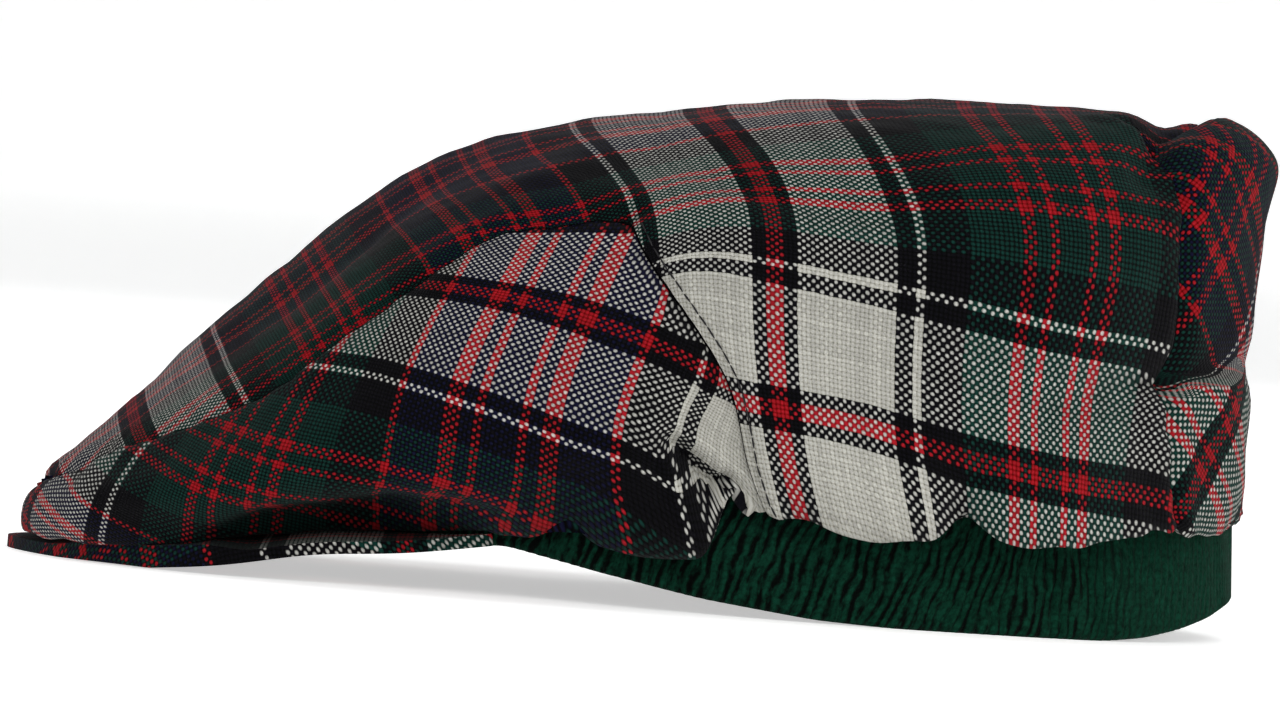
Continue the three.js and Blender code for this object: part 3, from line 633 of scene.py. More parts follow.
def fit_threads(skin, normal, mask, stripes, extra_points=(), extra_counts=()):
    """A smooth field of thread numbers over the cloth, from the pixels where some threads show."""
    pixels = project(skin)
    sight = skin - camera_axes()[0]
    facing = -(normal * sight).sum(-1) / np.linalg.norm(sight, axis=-1)
    half = np.arange(COLUMNS)[:, None] <= COLUMNS // 2
    usable = mask & half & (facing > 0)
    seen, spots, facing = pixels[usable], skin[usable], facing[usable]
    points, counts, looseness = list(extra_points), list(extra_counts), [1.0] * len(extra_points)
    for count, marks in stripes:
        for mark in marks:
            squares = ((seen - mark) ** 2).sum(1)
            near = np.argsort(squares)[:NEAREST]
            weight = 1 / (squares[near] + SOFTENING)
            points.append((spots[near] * weight[:, None]).sum(0) / weight.sum())
            counts.append(count)
            # A pixel's place is less sure where the cloth is seen at a slant.
            looseness.append(1 / max(facing[near[0]], LEAST_FACING) ** 2)
    points = np.array(points) / FIT_UNIT
    size = len(points)
    matrix = np.zeros((size + 4, size + 4))
    matrix[:size, :size] = np.linalg.norm(points[:, None] - points[None], axis=2) ** 3
    matrix[:size, :size] += FIT_SMOOTHING * np.diag(looseness)
    matrix[:size, size] = 1
    matrix[size, :size] = 1
    matrix[:size, size + 1:] = points
    matrix[size + 1:, :size] = points.T
    weights = np.linalg.lstsq(matrix, np.concatenate([counts, np.zeros(4)]), rcond=None)[0]

    def field(places):
        flat = places.reshape(-1, 3) / FIT_UNIT
        bent = np.linalg.norm(flat[:, None] - points[None], axis=2) ** 3 @ weights[:size]
        return (bent + weights[size] + flat @ weights[size + 1:]).reshape(places.shape[:-1])

    return field


def panel_masks():
    """Which vertices belong to the top panel and to the side panels."""
    columns, rows = np.meshgrid(np.arange(COLUMNS), np.arange(sum(LINE_STEPS) + 1), indexing="ij")
    from_front = np.minimum(columns, COLUMNS - columns)
    side = (from_front <= SIDE_CUT) & (rows <= SEAM_ROW)
    inner_side = (from_front < SIDE_CUT) & (rows < SEAM_ROW)
    inner_back = (from_front > BACK_CUT) & (rows < BACK_ROW)
    return {"top": ~inner_side & ~inner_back, "side": side}


def thread_counts(normal, grids):
    """Warp and weft numbers at each vertex, for each kind of panel."""
    masks = panel_masks()
    counts = {}
    top, side = grids["top"], grids["side"]
    middle = [top[0, r] for r in range(SEAM_ROW + 2, top.shape[1], ROW_STRIDE)]
    middle += [top[COLUMNS // 2, r] for r in range(BACK_ROW, top.shape[1] - 1, ROW_STRIDE)]
    middle_counts = np.interp([p[0] for p in middle], *np.array(MIDDLE_WEFT).T)
    warp = mirrored(fit_threads(top, normal, masks["top"], TOP_WARP)(top))
    weft_of = fit_threads(top, normal, masks["top"], TOP_WEFT, middle, middle_counts)
    weft = mirrored(weft_of(top))
    # The weft numbers go on growing over the middle line, a smooth curve from front to back, and down the
    # far side.
    line = np.concatenate([top[0, SEAM_ROW:], top[COLUMNS // 2, BACK_ROW:-1]])
    middle_curve = np.polyfit(line[:, 0], weft_of(line), MIDDLE_DEGREE)
    # Down the rear corner, where the cloth runs straight across the cap, the curve stays at its value there.
    past = np.maximum(top[..., 0] - REAR_CORNER, 0) * smooth(*REAR_SIDE, np.abs(top[..., 1]))
    at_middle = np.polyval(middle_curve, top[..., 0] - past)
    far = np.arange(COLUMNS)[:, None] > COLUMNS // 2
    weft = np.where(far, 2 * at_middle - weft, weft)
    counts["top"] = np.stack([warp, weft], -1)
    # Round the nose, which the photograph doesn't show, both numbers go on changing with the distance.
    rows = np.arange(HEM_ROW, SEAM_ROW + 1, ROW_STRIDE)
    nose, last_seen = side[0, rows], side[NOSE_COLUMN, rows]
    way = np.linalg.norm(nose - last_seen, axis=1)
    fields = []
    for stripes, slant in ((SIDE_WARP, NOSE_WARP_SLANT), (SIDE_WEFT, NOSE_WEFT_SLANT)):
        seen_part = fit_threads(side, normal, masks["side"], stripes)
        whole = fit_threads(side, normal, masks["side"], stripes, nose, seen_part(last_seen) + slant * way)
        fields.append(mirrored(whole(side)))
    counts["side"] = np.stack(fields, -1)
    # Across the back the numbers follow the distance round and up, less the cloth that is tucked away.
    back = grids["back"]
    steps = np.linalg.norm(np.roll(back[:, ROUND_ROW], -1, 0) - back[:, ROUND_ROW], axis=1)
    round_mm = np.concatenate([[0], np.cumsum(steps)[:-1]])
    round_mm -= round_mm[BACK_CUT]
    steps = np.linalg.norm(np.diff(back[COLUMNS // 2 - SECTION_STEPS], axis=0), axis=1)
    up_mm = np.concatenate([[0], np.cumsum(steps)])
    above_tuck = back[..., 2] - np.interp(back[..., 0], *np.array(BACK_TUCK).T)
    up = up_mm[None, :] - TUCKED_CLOTH * (1 - smooth(-TUCK_BLEND, TUCK_BLEND, above_tuck))
    across = THREADS_PER_MM / math.sqrt(2)
    warp = BIAS_WARP + across * (up - round_mm[:, None])
    weft = BIAS_WEFT + across * (up + round_mm[:, None])
    counts["back"] = np.stack([warp, weft], -1)
    return counts


def read(items, name, width=1, kind=float):
    """One attribute of all of a mesh's vertices, edges, faces or corners, in rows of the given width."""
    flat = np.empty(width * len(items), kind)
    items.foreach_get(name, flat)
    return flat.reshape(-1, width) if width > 1 else flat


def shaped_grid(name, points, counts, keep=None):
    """A primitive grid shaped to points in millimetres, cut to the kept cells, its closed edges merged."""
    columns, rows = points.shape[:2]
    bpy.ops.object.select_all(action="DESELECT")
    bpy.ops.mesh.primitive_grid_add(
        x_subdivisions=columns - 1, y_subdivisions=rows - 1, size=1, calc_uvs=False, location=(0, 0, 0))
    piece = bpy.context.object
    piece.name = name
    mesh = piece.data
    mesh.name = name
    if len(mesh.vertices) != columns * rows:
        raise RuntimeError(f"{name}: the grid has {len(mesh.vertices)} points, not {columns * rows}")
    flat = read(mesh.vertices, "co", 3)
    column = np.rint((flat[:, 0] + 0.5) * (columns - 1)).astype(int)
    row = np.rint((flat[:, 1] + 0.5) * (rows - 1)).astype(int)
    mesh.vertices.foreach_set("co", (points[column, row] * MM).ravel())
    corners = read(mesh.loops, "vertex_index", kind=int)
    layer = mesh.uv_layers.new(name="threads")
    layer.data.foreach_set("uv", (counts[column, row] / UV_SCALE)[corners].ravel())
    if keep is not None:
        cells = corners.reshape(-1, 4)
        dropped = ~keep[column[cells].min(1), row[cells].min(1)]
        mesh.vertices.foreach_set("select", np.zeros(len(mesh.vertices), bool))
        mesh.edges.foreach_set("select", np.zeros(len(mesh.edges), bool))
        mesh.polygons.foreach_set("select", dropped)
        bpy.context.tool_settings.mesh_select_mode = (False, False, True)
        bpy.ops.object.mode_set(mode="EDIT")
        bpy.ops.mesh.delete(type="FACE")
        bpy.ops.object.mode_set(mode="OBJECT")
    bpy.context.tool_settings.mesh_select_mode = (True, False, False)
    bpy.ops.object.mode_set(mode="EDIT")
    bpy.ops.mesh.select_all(action="SELECT")
    bpy.ops.mesh.remove_doubles(threshold=MERGE_DISTANCE)
    bpy.ops.object.mode_set(mode="OBJECT")
    return piece


def move_vertices(piece, change):
    """Passes a piece's vertices, in millimetres, through a function."""
    mesh = piece.data
    mesh.vertices.foreach_set("co", (change(read(mesh.vertices, "co", 3) / MM) * MM).ravel())
    mesh.update()


def turn_faces(piece, inside=False):
    """Turns all of a piece's faces outwards, or inwards."""
    bpy.context.view_layer.objects.active = piece
    bpy.ops.object.mode_set(mode="EDIT")
    bpy.ops.mesh.select_all(action="SELECT")
    bpy.ops.mesh.normals_make_consistent(inside=inside)
    bpy.ops.object.mode_set(mode="OBJECT")


def draw_in_edges(piece, distance):
    """Moves the open edge of a sheet towards its inside, so that neighbouring panels stay apart."""
    mesh = piece.data
    corners = read(mesh.loops, "vertex_index", kind=int)
    totals = read(mesh.polygons, "loop_total", kind=int)
    uses = np.bincount(read(mesh.loops, "edge_index", kind=int), minlength=len(mesh.edges))
    border = np.zeros(len(mesh.vertices), bool)
    border[read(mesh.edges, "vertices", 2, int)[uses == 1].ravel()] = True
    sums = np.zeros((len(mesh.vertices), 3))
    np.add.at(sums, corners, np.repeat(read(mesh.polygons, "center", 3), totals, axis=0) / MM)
    beside = np.maximum(np.bincount(corners, minlength=len(mesh.vertices)), 1)[:, None]

    def drawn(points):
        inwards = sums / beside - points
        inwards /= np.maximum(np.linalg.norm(inwards, axis=1, keepdims=True), LEAST)
        return points + np.where(border[:, None], inwards * distance, 0)

    move_vertices(piece, drawn)


def apply_modifier(piece, kind, **settings):
    """Adds a modifier with its settings to a piece and applies it."""
    bpy.context.view_layer.objects.active = piece
    modifier = piece.modifiers.new(kind.lower(), kind)
    for name, value in settings.items():
        setattr(modifier, name, value)
    bpy.ops.object.modifier_apply(modifier=modifier.name)


def finish_piece(piece, material, replaced=(), sharp=CLOTH_SHARP):
    """Smooths a piece, gives it its material and ties it to the frame."""
    bpy.ops.object.select_all(action="DESELECT")
    piece.select_set(True)
    bpy.context.view_layer.objects.active = piece
    bpy.ops.object.shade_smooth_by_angle(angle=math.radians(sharp))
    piece.data.materials.clear()
    piece.data.materials.append(material)
    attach(piece, "root")
    if replaced:
        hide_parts(*replaced)


def add_node(tree, kind, inputs=None, **settings):
    """Adds a node, with its own settings, and constants or links on its inputs."""
    made = tree.nodes.new(kind)
    for name, value in settings.items():
        setattr(made, name, value)
    for key, value in (inputs or {}).items():
        if isinstance(value, bpy.types.NodeSocket):
            tree.links.new(value, made.inputs[key])
        else:
            made.inputs[key].default_value = value
    return made


def empty_material(name):
    """The material of that name, made if it isn't there yet, and its node tree with nothing in it."""
    material = bpy.data.materials.get(name) or bpy.data.materials.new(name)
    material.use_nodes = True
    material.node_tree.nodes.clear()
    return material, material.node_tree


def thread_values(tree, steps, shift, scale, detail):
    """Nodes that read a piece's thread numbers, move them by a noise's unevenness and work out the steps.

    The scale and detail are the noise's. The thread numbers before the move come back too.
    """
    counts = add_node(tree, "ShaderNodeUVMap", uv_map="threads")
    scaled = add_node(
        tree, "ShaderNodeVectorMath", {0: counts.outputs[0], 1: (UV_SCALE, UV_SCALE, 0.0)},
        operation="MULTIPLY")
    uneven = add_node(
        tree, "ShaderNodeTexNoise", {"Vector": scaled.outputs[0], "Scale": scale, "Detail": detail})
    moved = add_node(
        tree, "ShaderNodeVectorMath", {0: uneven.outputs["Color"], 1: shift, 2: scaled.outputs[0]},
        operation="MULTIPLY_ADD")
    parts = add_node(tree, "ShaderNodeSeparateXYZ", {0: moved.outputs[0]})
    values = {"u": parts.outputs[0], "v": parts.outputs[1]}
    for name, operation, operands in steps:
        inputs = {i: values.get(operand, operand) for i, operand in enumerate(operands)}
        values[name] = add_node(tree, "ShaderNodeMath", inputs, operation=operation).outputs[0]
    return scaled, values


# The square of a thread's half width, and how far it rises over and sinks under the others, in thread units.
THREAD_ROOM, THREAD_WAVE = 0.23, 0.3
THREAD_SHIFT = (0.5, 0.5, 0.0)  # the whole range of its unevenness across the cloth, in thread units
FIBRE_RELIEF = 0.25  # how high fibres stand on a thread
# The steps below are Math nodes: name, operation and operands, each a number or the name of an earlier step.
# A plain weave in thread units. A warp thread runs along v and a weft thread along u. Each goes over and
# under the other, is round across, and the higher of the two shows.
WEAVE_STEPS = (
    ("warp", "FLOOR", ("u",)),
    ("weft", "FLOOR", ("v",)),
    ("u_half", "SUBTRACT", ("u", 0.5)),
    ("v_half", "SUBTRACT", ("v", 0.5)),
    ("across_warp", "SUBTRACT", ("u_half", "warp")),
    ("across_weft", "SUBTRACT", ("v_half", "weft")),
    ("warp_square", "MULTIPLY", ("across_warp", "across_warp")),
    ("weft_square", "MULTIPLY", ("across_weft", "across_weft")),
    ("warp_room", "SUBTRACT", (THREAD_ROOM, "warp_square")),
    ("weft_room", "SUBTRACT", (THREAD_ROOM, "weft_square")),
    ("warp_inside", "MAXIMUM", ("warp_room", 0.0)),
    ("weft_inside", "MAXIMUM", ("weft_room", 0.0)),
    ("warp_round", "SQRT", ("warp_inside",)),
    ("weft_round", "SQRT", ("weft_inside",)),
    ("warp_along", "SUBTRACT", ("v_half", "warp")),
    ("weft_along", "SUBTRACT", ("u_half", "weft")),
    ("warp_turn", "MULTIPLY", ("warp_along", math.pi)),
    ("weft_turn", "MULTIPLY", ("weft_along", math.pi)),
    ("warp_wave", "COSINE", ("warp_turn",)),
    ("weft_wave", "COSINE", ("weft_turn",)),
    ("warp_height", "MULTIPLY_ADD", ("warp_wave", THREAD_WAVE, "warp_round")),
    ("weft_height", "MULTIPLY_ADD", ("weft_wave", -THREAD_WAVE, "weft_round")),
    ("warp_on_top", "GREATER_THAN", ("warp_height", "weft_height")),
    ("height", "MAXIMUM", ("warp_height", "weft_height")),
    ("warp_thread", "FLOORED_MODULO", ("warp", SETT_THREADS)),
    ("weft_thread", "FLOORED_MODULO", ("weft", SETT_THREADS)),
    ("warp_lookup", "ADD", ("warp_thread", RAMP_LOOKUP)),
    ("weft_lookup", "ADD", ("weft_thread", RAMP_LOOKUP)),
    ("warp_place", "DIVIDE", ("warp_lookup", SETT_THREADS)),
    ("weft_place", "DIVIDE", ("weft_lookup", SETT_THREADS)),
)


def wool_tartan(colours):
    """Plain-woven wool: its threads show as rows of small matt dots, with painted shade in the gaps between
    them and short fibres.
    """
    material, tree = empty_material("plain_woven_wool_tartan")
    # Uneven spinning moves a thread by up to about a fifth of its width, back and forth in about 2 mm.
    scaled, values = thread_values(tree, WEAVE_STEPS, THREAD_SHIFT, scale=0.45, detail=2.0)
    shades = []
    for place in ("warp_place", "weft_place"):
        ramp = add_node(tree, "ShaderNodeValToRGB", {0: values[place]})
        ramp.color_ramp.interpolation = "CONSTANT"
        elements = ramp.color_ramp.elements
        elements.remove(elements[1])
        for i, (start, colour) in enumerate(SETT):
            element = elements[0] if i == 0 else elements.new(start / SETT_THREADS)
            element.position = start / SETT_THREADS
            element.color = (*getattr(colours, colour), 1.0)
        shades.append(ramp.outputs[0])
    # Single threads differ a little in how deeply they took the dye.
    tones = []
    for thread, seed in (("warp", 3.7), ("weft", 11.3)):
        seeded = add_node(tree, "ShaderNodeMath", {0: values[thread], 1: seed}, operation="ADD")
        dye = add_node(tree, "ShaderNodeTexWhiteNoise", {"W": seeded.outputs[0]}, noise_dimensions="1D")
        taken_up = add_node(
            tree, "ShaderNodeMapRange", {"Value": dye.outputs["Value"], "To Min": 0.82, "To Max": 1.12})
        tones.append(taken_up.outputs[0])
    colour = add_node(
        tree, "ShaderNodeMix", {0: values["warp_on_top"], 6: shades[1], 7: shades[0]}, data_type="RGBA")
    tone = add_node(
        tree, "ShaderNodeMix", {0: values["warp_on_top"], 2: tones[1], 3: tones[0]}, data_type="FLOAT")
    # Painted shade darkens the gaps between the threads, and fibres, nearly 3 to a millimetre, break up each
    # thread's colour.
    fibres = add_node(
        tree, "ShaderNodeTexNoise",
        {"Vector": scaled.outputs[0], "Scale": 2.6, "Detail": 3.0, "Roughness": 0.7})
    broken = add_node(
        tree, "ShaderNodeMapRange",
        {"Value": fibres.outputs[0], "From Min": 0.25, "From Max": 0.75, "To Min": 0.6, "To Max": 1.28})
    # Painted shade: the lower a point lies on the threads, the darker its colour, down to 0.22 in the gaps.
    painted_gap_shade = add_node(
        tree, "ShaderNodeMapRange",
        {"Value": values["height"], "From Min": 0.06, "From Max": 0.46, "To Min": 0.22, "To Max": 1.0})
    # Painted shade and painted reflected light: low on a thread its colour is both threads' colours
    # multiplied, darker and taking on both, as where light has met the crossing thread too.
    crown = add_node(
        tree, "ShaderNodeMapRange", {"Value": values["height"], "From Min": 0.42, "From Max": 0.76})
    both = add_node(
        tree, "ShaderNodeMix", {0: 1.0, 6: shades[0], 7: shades[1]}, data_type="RGBA", blend_type="MULTIPLY")
    between = add_node(tree, "ShaderNodeVectorMath", {0: both.outputs[2], "Scale": 1.8}, operation="SCALE")
    seen = add_node(
        tree, "ShaderNodeMix", {0: crown.outputs[0], 6: between.outputs[0], 7: colour.outputs[2]},
        data_type="RGBA")
    toned = add_node(tree, "ShaderNodeMath", {0: tone.outputs[0], 1: broken.outputs[0]}, operation="MULTIPLY")
    shade = add_node(tree, "ShaderNodeMath", {0: toned.outputs[0], 1: painted_gap_shade.outputs[0]}, operation="MULTIPLY")
    relief = add_node(
        tree, "ShaderNodeMath", {0: broken.outputs[0], 1: FIBRE_RELIEF, 2: values["height"]},
        operation="MULTIPLY_ADD")
    shaded = add_node(
        tree, "ShaderNodeVectorMath", {0: seen.outputs[2], "Scale": shade.outputs[0]}, operation="SCALE")
    bump = add_node(
        tree, "ShaderNodeBump", {"Strength": 0.7, "Distance": 0.4 * MM, "Height": relief.outputs[0]})
    surface = add_node(
        tree, "ShaderNodeBsdfPrincipled",
        {"Base Color": shaded.outputs[0], "Roughness": 0.95, "Specular IOR Level": 0.06, "Sheen Weight": 0.02,
         "Sheen Roughness": 0.5, "Normal": bump.outputs[0]})
    add_node(tree, "ShaderNodeOutputMaterial", {0: surface.outputs[0]})
    return material


# How far the legs of a knitted stitch rise from its middle outwards, their height, and the depth and the
# steepness of the valley beside a rib.
LEG_SLANT, LEG_HEIGHT, VALLEY_DEPTH, VALLEY_POWER = 0.9, 0.55, 0.4, 3.0
YARN_SHIFT = (0.5, 0.9, 0.0)  # the whole range of the yarn's unevenness, in ribs and stitches
YARN_FIBRES, YARN_FIBRE_RELIEF = 1.8, 0.5  # fibres to a millimetre, and how high they stand
# How many dark dashes of painted shade, and streaks of lighter and darker fleece, there are to a rib and to a
# stitch.
DASHES, STREAKS = (0.9, 0.17, 0.0), (1.9, 0.6, 0.0)
# Stitches of the knit in units of one rib across and one stitch up. Both yarn legs of a stitch lean out
# from the rib's middle, which makes a column of small Vs.
STITCH_STEPS = (
    ("rib", "FLOOR", ("u",)),
    ("in_rib", "SUBTRACT", ("u", "rib")),
    ("from_middle", "SUBTRACT", ("in_rib", 0.5)),
    ("out", "ABSOLUTE", ("from_middle",)),
    ("leaning", "MULTIPLY_ADD", ("out", LEG_SLANT, "v")),
    ("strand", "FRACT", ("leaning",)),
    ("from_strand", "SUBTRACT", ("strand", 0.5)),
    ("square", "MULTIPLY", ("from_strand", "from_strand")),
    ("room", "SUBTRACT", (0.25, "square")),
    ("inside", "MAXIMUM", ("room", 0.0)),
    ("round", "SQRT", ("inside",)),
    ("valley", "MULTIPLY", ("out", 2.0)),
    ("deep", "POWER", ("valley", VALLEY_POWER)),
    ("legs", "MULTIPLY", ("round", LEG_HEIGHT)),
    ("height", "MULTIPLY_ADD", ("deep", -VALLEY_DEPTH, "legs")),
)


def wool_knit(colours):
    """Rib-knit wool yarn: soft, matt and slightly fuzzy, with painted shade as dark lines between the ribs.
    """
    material, tree = empty_material("rib_knit_wool")
    scaled, values = thread_values(tree, STITCH_STEPS, YARN_SHIFT, scale=0.8, detail=3.0)
    place = add_node(tree, "ShaderNodeTexCoord")
    fibres = add_node(
        tree, "ShaderNodeTexNoise",
        {"Vector": place.outputs["Object"], "Scale": YARN_FIBRES / MM, "Detail": 3.0})
    relief = add_node(
        tree, "ShaderNodeMath", {0: fibres.outputs[0], 1: YARN_FIBRE_RELIEF, 2: values["height"]},
        operation="MULTIPLY_ADD")
    # Painted shade: between the ribs, where the knit falls open, the colour is darkened in dashes. It is
    # stretched smooth round the back, so the painted shade fades there.
    between = add_node(
        tree, "ShaderNodeMapRange", {"Value": values["out"], "From Min": 0.1, "From Max": 0.32})
    stretched = add_node(
        tree, "ShaderNodeVectorMath", {0: scaled.outputs[0], 1: DASHES}, operation="MULTIPLY")
    dashes = add_node(
        tree, "ShaderNodeTexNoise",
        {"Vector": stretched.outputs[0], "Scale": 1.0, "Detail": 3.0, "Roughness": 0.7})
    open_knit_shade = add_node(
        tree, "ShaderNodeMapRange", {"Value": dashes.outputs[0], "From Min": 0.4, "From Max": 0.52})
    where = add_node(tree, "ShaderNodeSeparateXYZ", {0: place.outputs["Object"]})
    loose = add_node(
        tree, "ShaderNodeMapRange",
        {"Value": where.outputs[0], "From Min": STRETCHED_FROM * MM, "From Max": STRETCHED_TO * MM,
         "To Min": 0.95, "To Max": 0.05})
    streaked = add_node(
        tree, "ShaderNodeVectorMath", {0: scaled.outputs[0], 1: STREAKS}, operation="MULTIPLY")
    fleece = add_node(
        tree, "ShaderNodeTexNoise",
        {"Vector": streaked.outputs[0], "Scale": 1.0, "Detail": 4.0, "Roughness": 0.75})
    uneven_tone = add_node(
        tree, "ShaderNodeMapRange",
        {"Value": fleece.outputs[0], "From Min": 0.3, "From Max": 0.7, "To Min": 0.25, "To Max": 1.8})
    # Painted shade: the dashes darken the colour between the ribs, less round the back.
    painted_dash_shade = add_node(
        tree, "ShaderNodeMath", {0: between.outputs[0], 1: open_knit_shade.outputs[0]}, operation="MULTIPLY")
    dark = add_node(tree, "ShaderNodeMath", {0: painted_dash_shade.outputs[0], 1: loose.outputs[0]}, operation="MULTIPLY")
    kept = add_node(tree, "ShaderNodeMath", {0: 1.0, 1: dark.outputs[0]}, operation="SUBTRACT")
    toned = add_node(
        tree, "ShaderNodeMath", {0: kept.outputs[0], 1: uneven_tone.outputs[0]}, operation="MULTIPLY")
    # Painted shade and painted highlight: low places of the relief, in the valleys and between the yarn's
    # legs, are darker, high ones lighter.
    lit = add_node(
        tree, "ShaderNodeMapRange",
        {"Value": relief.outputs[0], "From Min": 0.0, "From Max": 0.55, "To Min": 0.5, "To Max": 1.2})
    shade = add_node(tree, "ShaderNodeMath", {0: toned.outputs[0], 1: lit.outputs[0]}, operation="MULTIPLY")
    shaded = add_node(
        tree, "ShaderNodeVectorMath", {0: (*colours.knit,), "Scale": shade.outputs[0]}, operation="SCALE")
    bump = add_node(
        tree, "ShaderNodeBump", {"Strength": 0.8, "Distance": 0.45 * MM, "Height": relief.outputs[0]})
    surface = add_node(
        tree, "ShaderNodeBsdfPrincipled",
        {"Base Color": shaded.outputs[0], "Roughness": 0.95, "Specular IOR Level": 0.06, "Sheen Weight": 0.06,
         "Sheen Roughness": 0.6, "Sheen Tint": (*colours.knit, 1.0), "Normal": bump.outputs[0]})
    add_node(tree, "ShaderNodeOutputMaterial", {0: surface.outputs[0]})
    return material


TWIST = 0.9  # the wave texture's scale to a millimetre, which gives a ply every 0.4 mm along the thread


def sewing_thread(colours):
    """Twisted sewing thread, nearly black, with a fine slanting twist."""
    material, tree = empty_material("twisted_sewing_thread")
    place = add_node(tree, "ShaderNodeTexCoord")
    twist = add_node(
        tree, "ShaderNodeTexWave",
        {"Vector": place.outputs["Object"], "Scale": TWIST / MM, "Distortion": 2.0},
        bands_direction="DIAGONAL")
    # Painted shade: the twist's grooves, on the low side of the same bands that the bump follows, are half as
    # bright.
    ramp = add_node(
        tree, "ShaderNodeMix",
        {0: twist.outputs["Fac"], 6: (*(0.5 * c for c in colours.sewing), 1.0), 7: (*colours.sewing, 1.0)},
        data_type="RGBA")
    bump = add_node(
        tree, "ShaderNodeBump", {"Strength": 0.5, "Distance": 0.1 * MM, "Height": twist.outputs["Fac"]})
    surface = add_node(
        tree, "ShaderNodeBsdfPrincipled",
        {"Base Color": ramp.outputs[2], "Roughness": 0.6, "Specular IOR Level": 0.3,
         "Normal": bump.outputs[0]})
    add_node(tree, "ShaderNodeOutputMaterial", {0: surface.outputs[0]})
    return material


def stage_paint(colour):
    """Matt white paint of a plain studio floor, lit a little from below like a light table."""
    material, tree = empty_material("matt_studio_paint")
    surface = add_node(
        tree, "ShaderNodeBsdfPrincipled",
        {"Base Color": (*colour, 1.0), "Roughness": 0.9, "Emission Color": (1.0, 1.0, 1.0, 1.0),
         "Emission Strength": 0.5})
    add_node(tree, "ShaderNodeOutputMaterial", {0: surface.outputs[0]})
    return material


class CapSizes(bpy.types.PropertyGroup):
    cloth: bpy.props.FloatProperty(
        name="Cloth", description="Thickness of the doubled cloth", default=1.6 * MM, unit="LENGTH")
    seam_depth: bpy.props.FloatProperty(
        name="Seam depth", description="How deep the cloth is drawn in at a seam", default=1.3 * MM,
        unit="LENGTH")
    seam_width: bpy.props.FloatProperty(
        name="Seam width", description="Half width of the groove at a seam", default=1.7 * MM, unit="LENGTH")
    unevenness: bpy.props.FloatProperty(
        name="Unevenness", description="How far the cloth waves in and out", default=0.5 * MM, unit="LENGTH")
    rib_pitch: bpy.props.FloatProperty(
        name="Rib pitch", description="From one rib of the knit to the next", default=2.2 * MM, unit="LENGTH")
    rib_depth: bpy.props.FloatProperty(
        name="Rib depth", description="Depth of the valleys between ribs", default=0.9 * MM, unit="LENGTH")
    knit_stitch: bpy.props.FloatProperty(
        name="Knit stitch", description="Height of one knitted stitch", default=1.5 * MM, unit="LENGTH")
    stitch_pitch: bpy.props.FloatProperty(
        name="Stitch pitch", description="From one top-stitch to the next", default=3.3 * MM, unit="LENGTH")
    stitch_length: bpy.props.FloatProperty(
        name="Stitch length", description="Length of one top-stitch", default=3.2 * MM, unit="LENGTH")
    thread: bpy.props.FloatProperty(
        name="Thread", description="Thickness of the sewing thread", default=0.42 * MM, unit="LENGTH")


class CapColours(bpy.types.PropertyGroup):
    cream: bpy.props.FloatVectorProperty(
        name="Cream", description="Cream wool", subtype="COLOR", default=linear("b1b0aa")[:3])
    black: bpy.props.FloatVectorProperty(
        name="Black", description="Black wool", subtype="COLOR", default=linear("09080d")[:3])
    red: bpy.props.FloatVectorProperty(
        name="Red", description="Red wool", subtype="COLOR", default=linear("951620")[:3])
    green: bpy.props.FloatVectorProperty(
        name="Green", description="Bottle green wool", subtype="COLOR", default=linear("0c2e28")[:3])
    navy: bpy.props.FloatVectorProperty(
        name="Navy", description="Navy wool", subtype="COLOR", default=linear("0d0e26")[:3])
    knit: bpy.props.FloatVectorProperty(
        name="Knit", description="Bottle green knit", subtype="COLOR", default=linear("05271b")[:3])
    sewing: bpy.props.FloatVectorProperty(
        name="Sewing thread", description="Top-stitching", subtype="COLOR", default=linear("121014")[:3])
    floor: bpy.props.FloatVectorProperty(
        name="Floor", description="Studio floor", subtype="COLOR", default=linear("f2f2f1")[:3])


def surface_of(sizes):
    """The crown's surface for the sizes in the panel, in millimetres."""
    return crown_surface(
        round(sizes.seam_depth / MM, 3), round(sizes.seam_width / MM, 3), round(sizes.unevenness / MM, 3))


class CAP_OT_crown(bpy.types.Operator):
    """Makes the crown's four cloth panels"""
    bl_idname = "flat_cap.crown"
    bl_label = "Crown panels"

    def execute(self, context):
        sizes = context.scene.flat_cap_sizes
        base, normal, grids = surface_of(sizes)
        counts = thread_counts(normal, grids)
        column, row = np.arange(COLUMNS)[:, None], np.arange(base.shape[1] - 1)[None, :]
        left = column < COLUMNS // 2
        from_front = np.where(left, column, COLUMNS - 1 - column)
        side = (from_front < SIDE_CUT) & (row < SEAM_ROW)
        back = (from_front >= BACK_CUT) & (row < BACK_ROW)
        panels = (
            ("crown_top_cloth", "top", ~side & ~back, "crown_top_panel"),
            ("side_cloth_left", "side", side & left, "side_panel_left"),
            ("side_cloth_right", "side", side & ~left, "side_panel_right"),
            ("back_cloth", "back", back, "back_panel"),
        )
        material = wool_tartan(context.scene.flat_cap_colours)
        for name, kind, keep, node in panels:
            closed = np.concatenate([grids[kind], grids[kind][:1]])
            threads = np.concatenate([counts[kind], counts[kind][:1]])
            piece = shaped_grid(name, closed, threads, keep)
            draw_in_edges(piece, GAP / 2)
            apply_modifier(piece, "SOLIDIFY", thickness=sizes.cloth, offset=-1.0, use_even_offset=False)
            move_vertices(piece, clear_of_neighbours)
            finish_piece(piece, material, (node,))
        return {"FINISHED"}


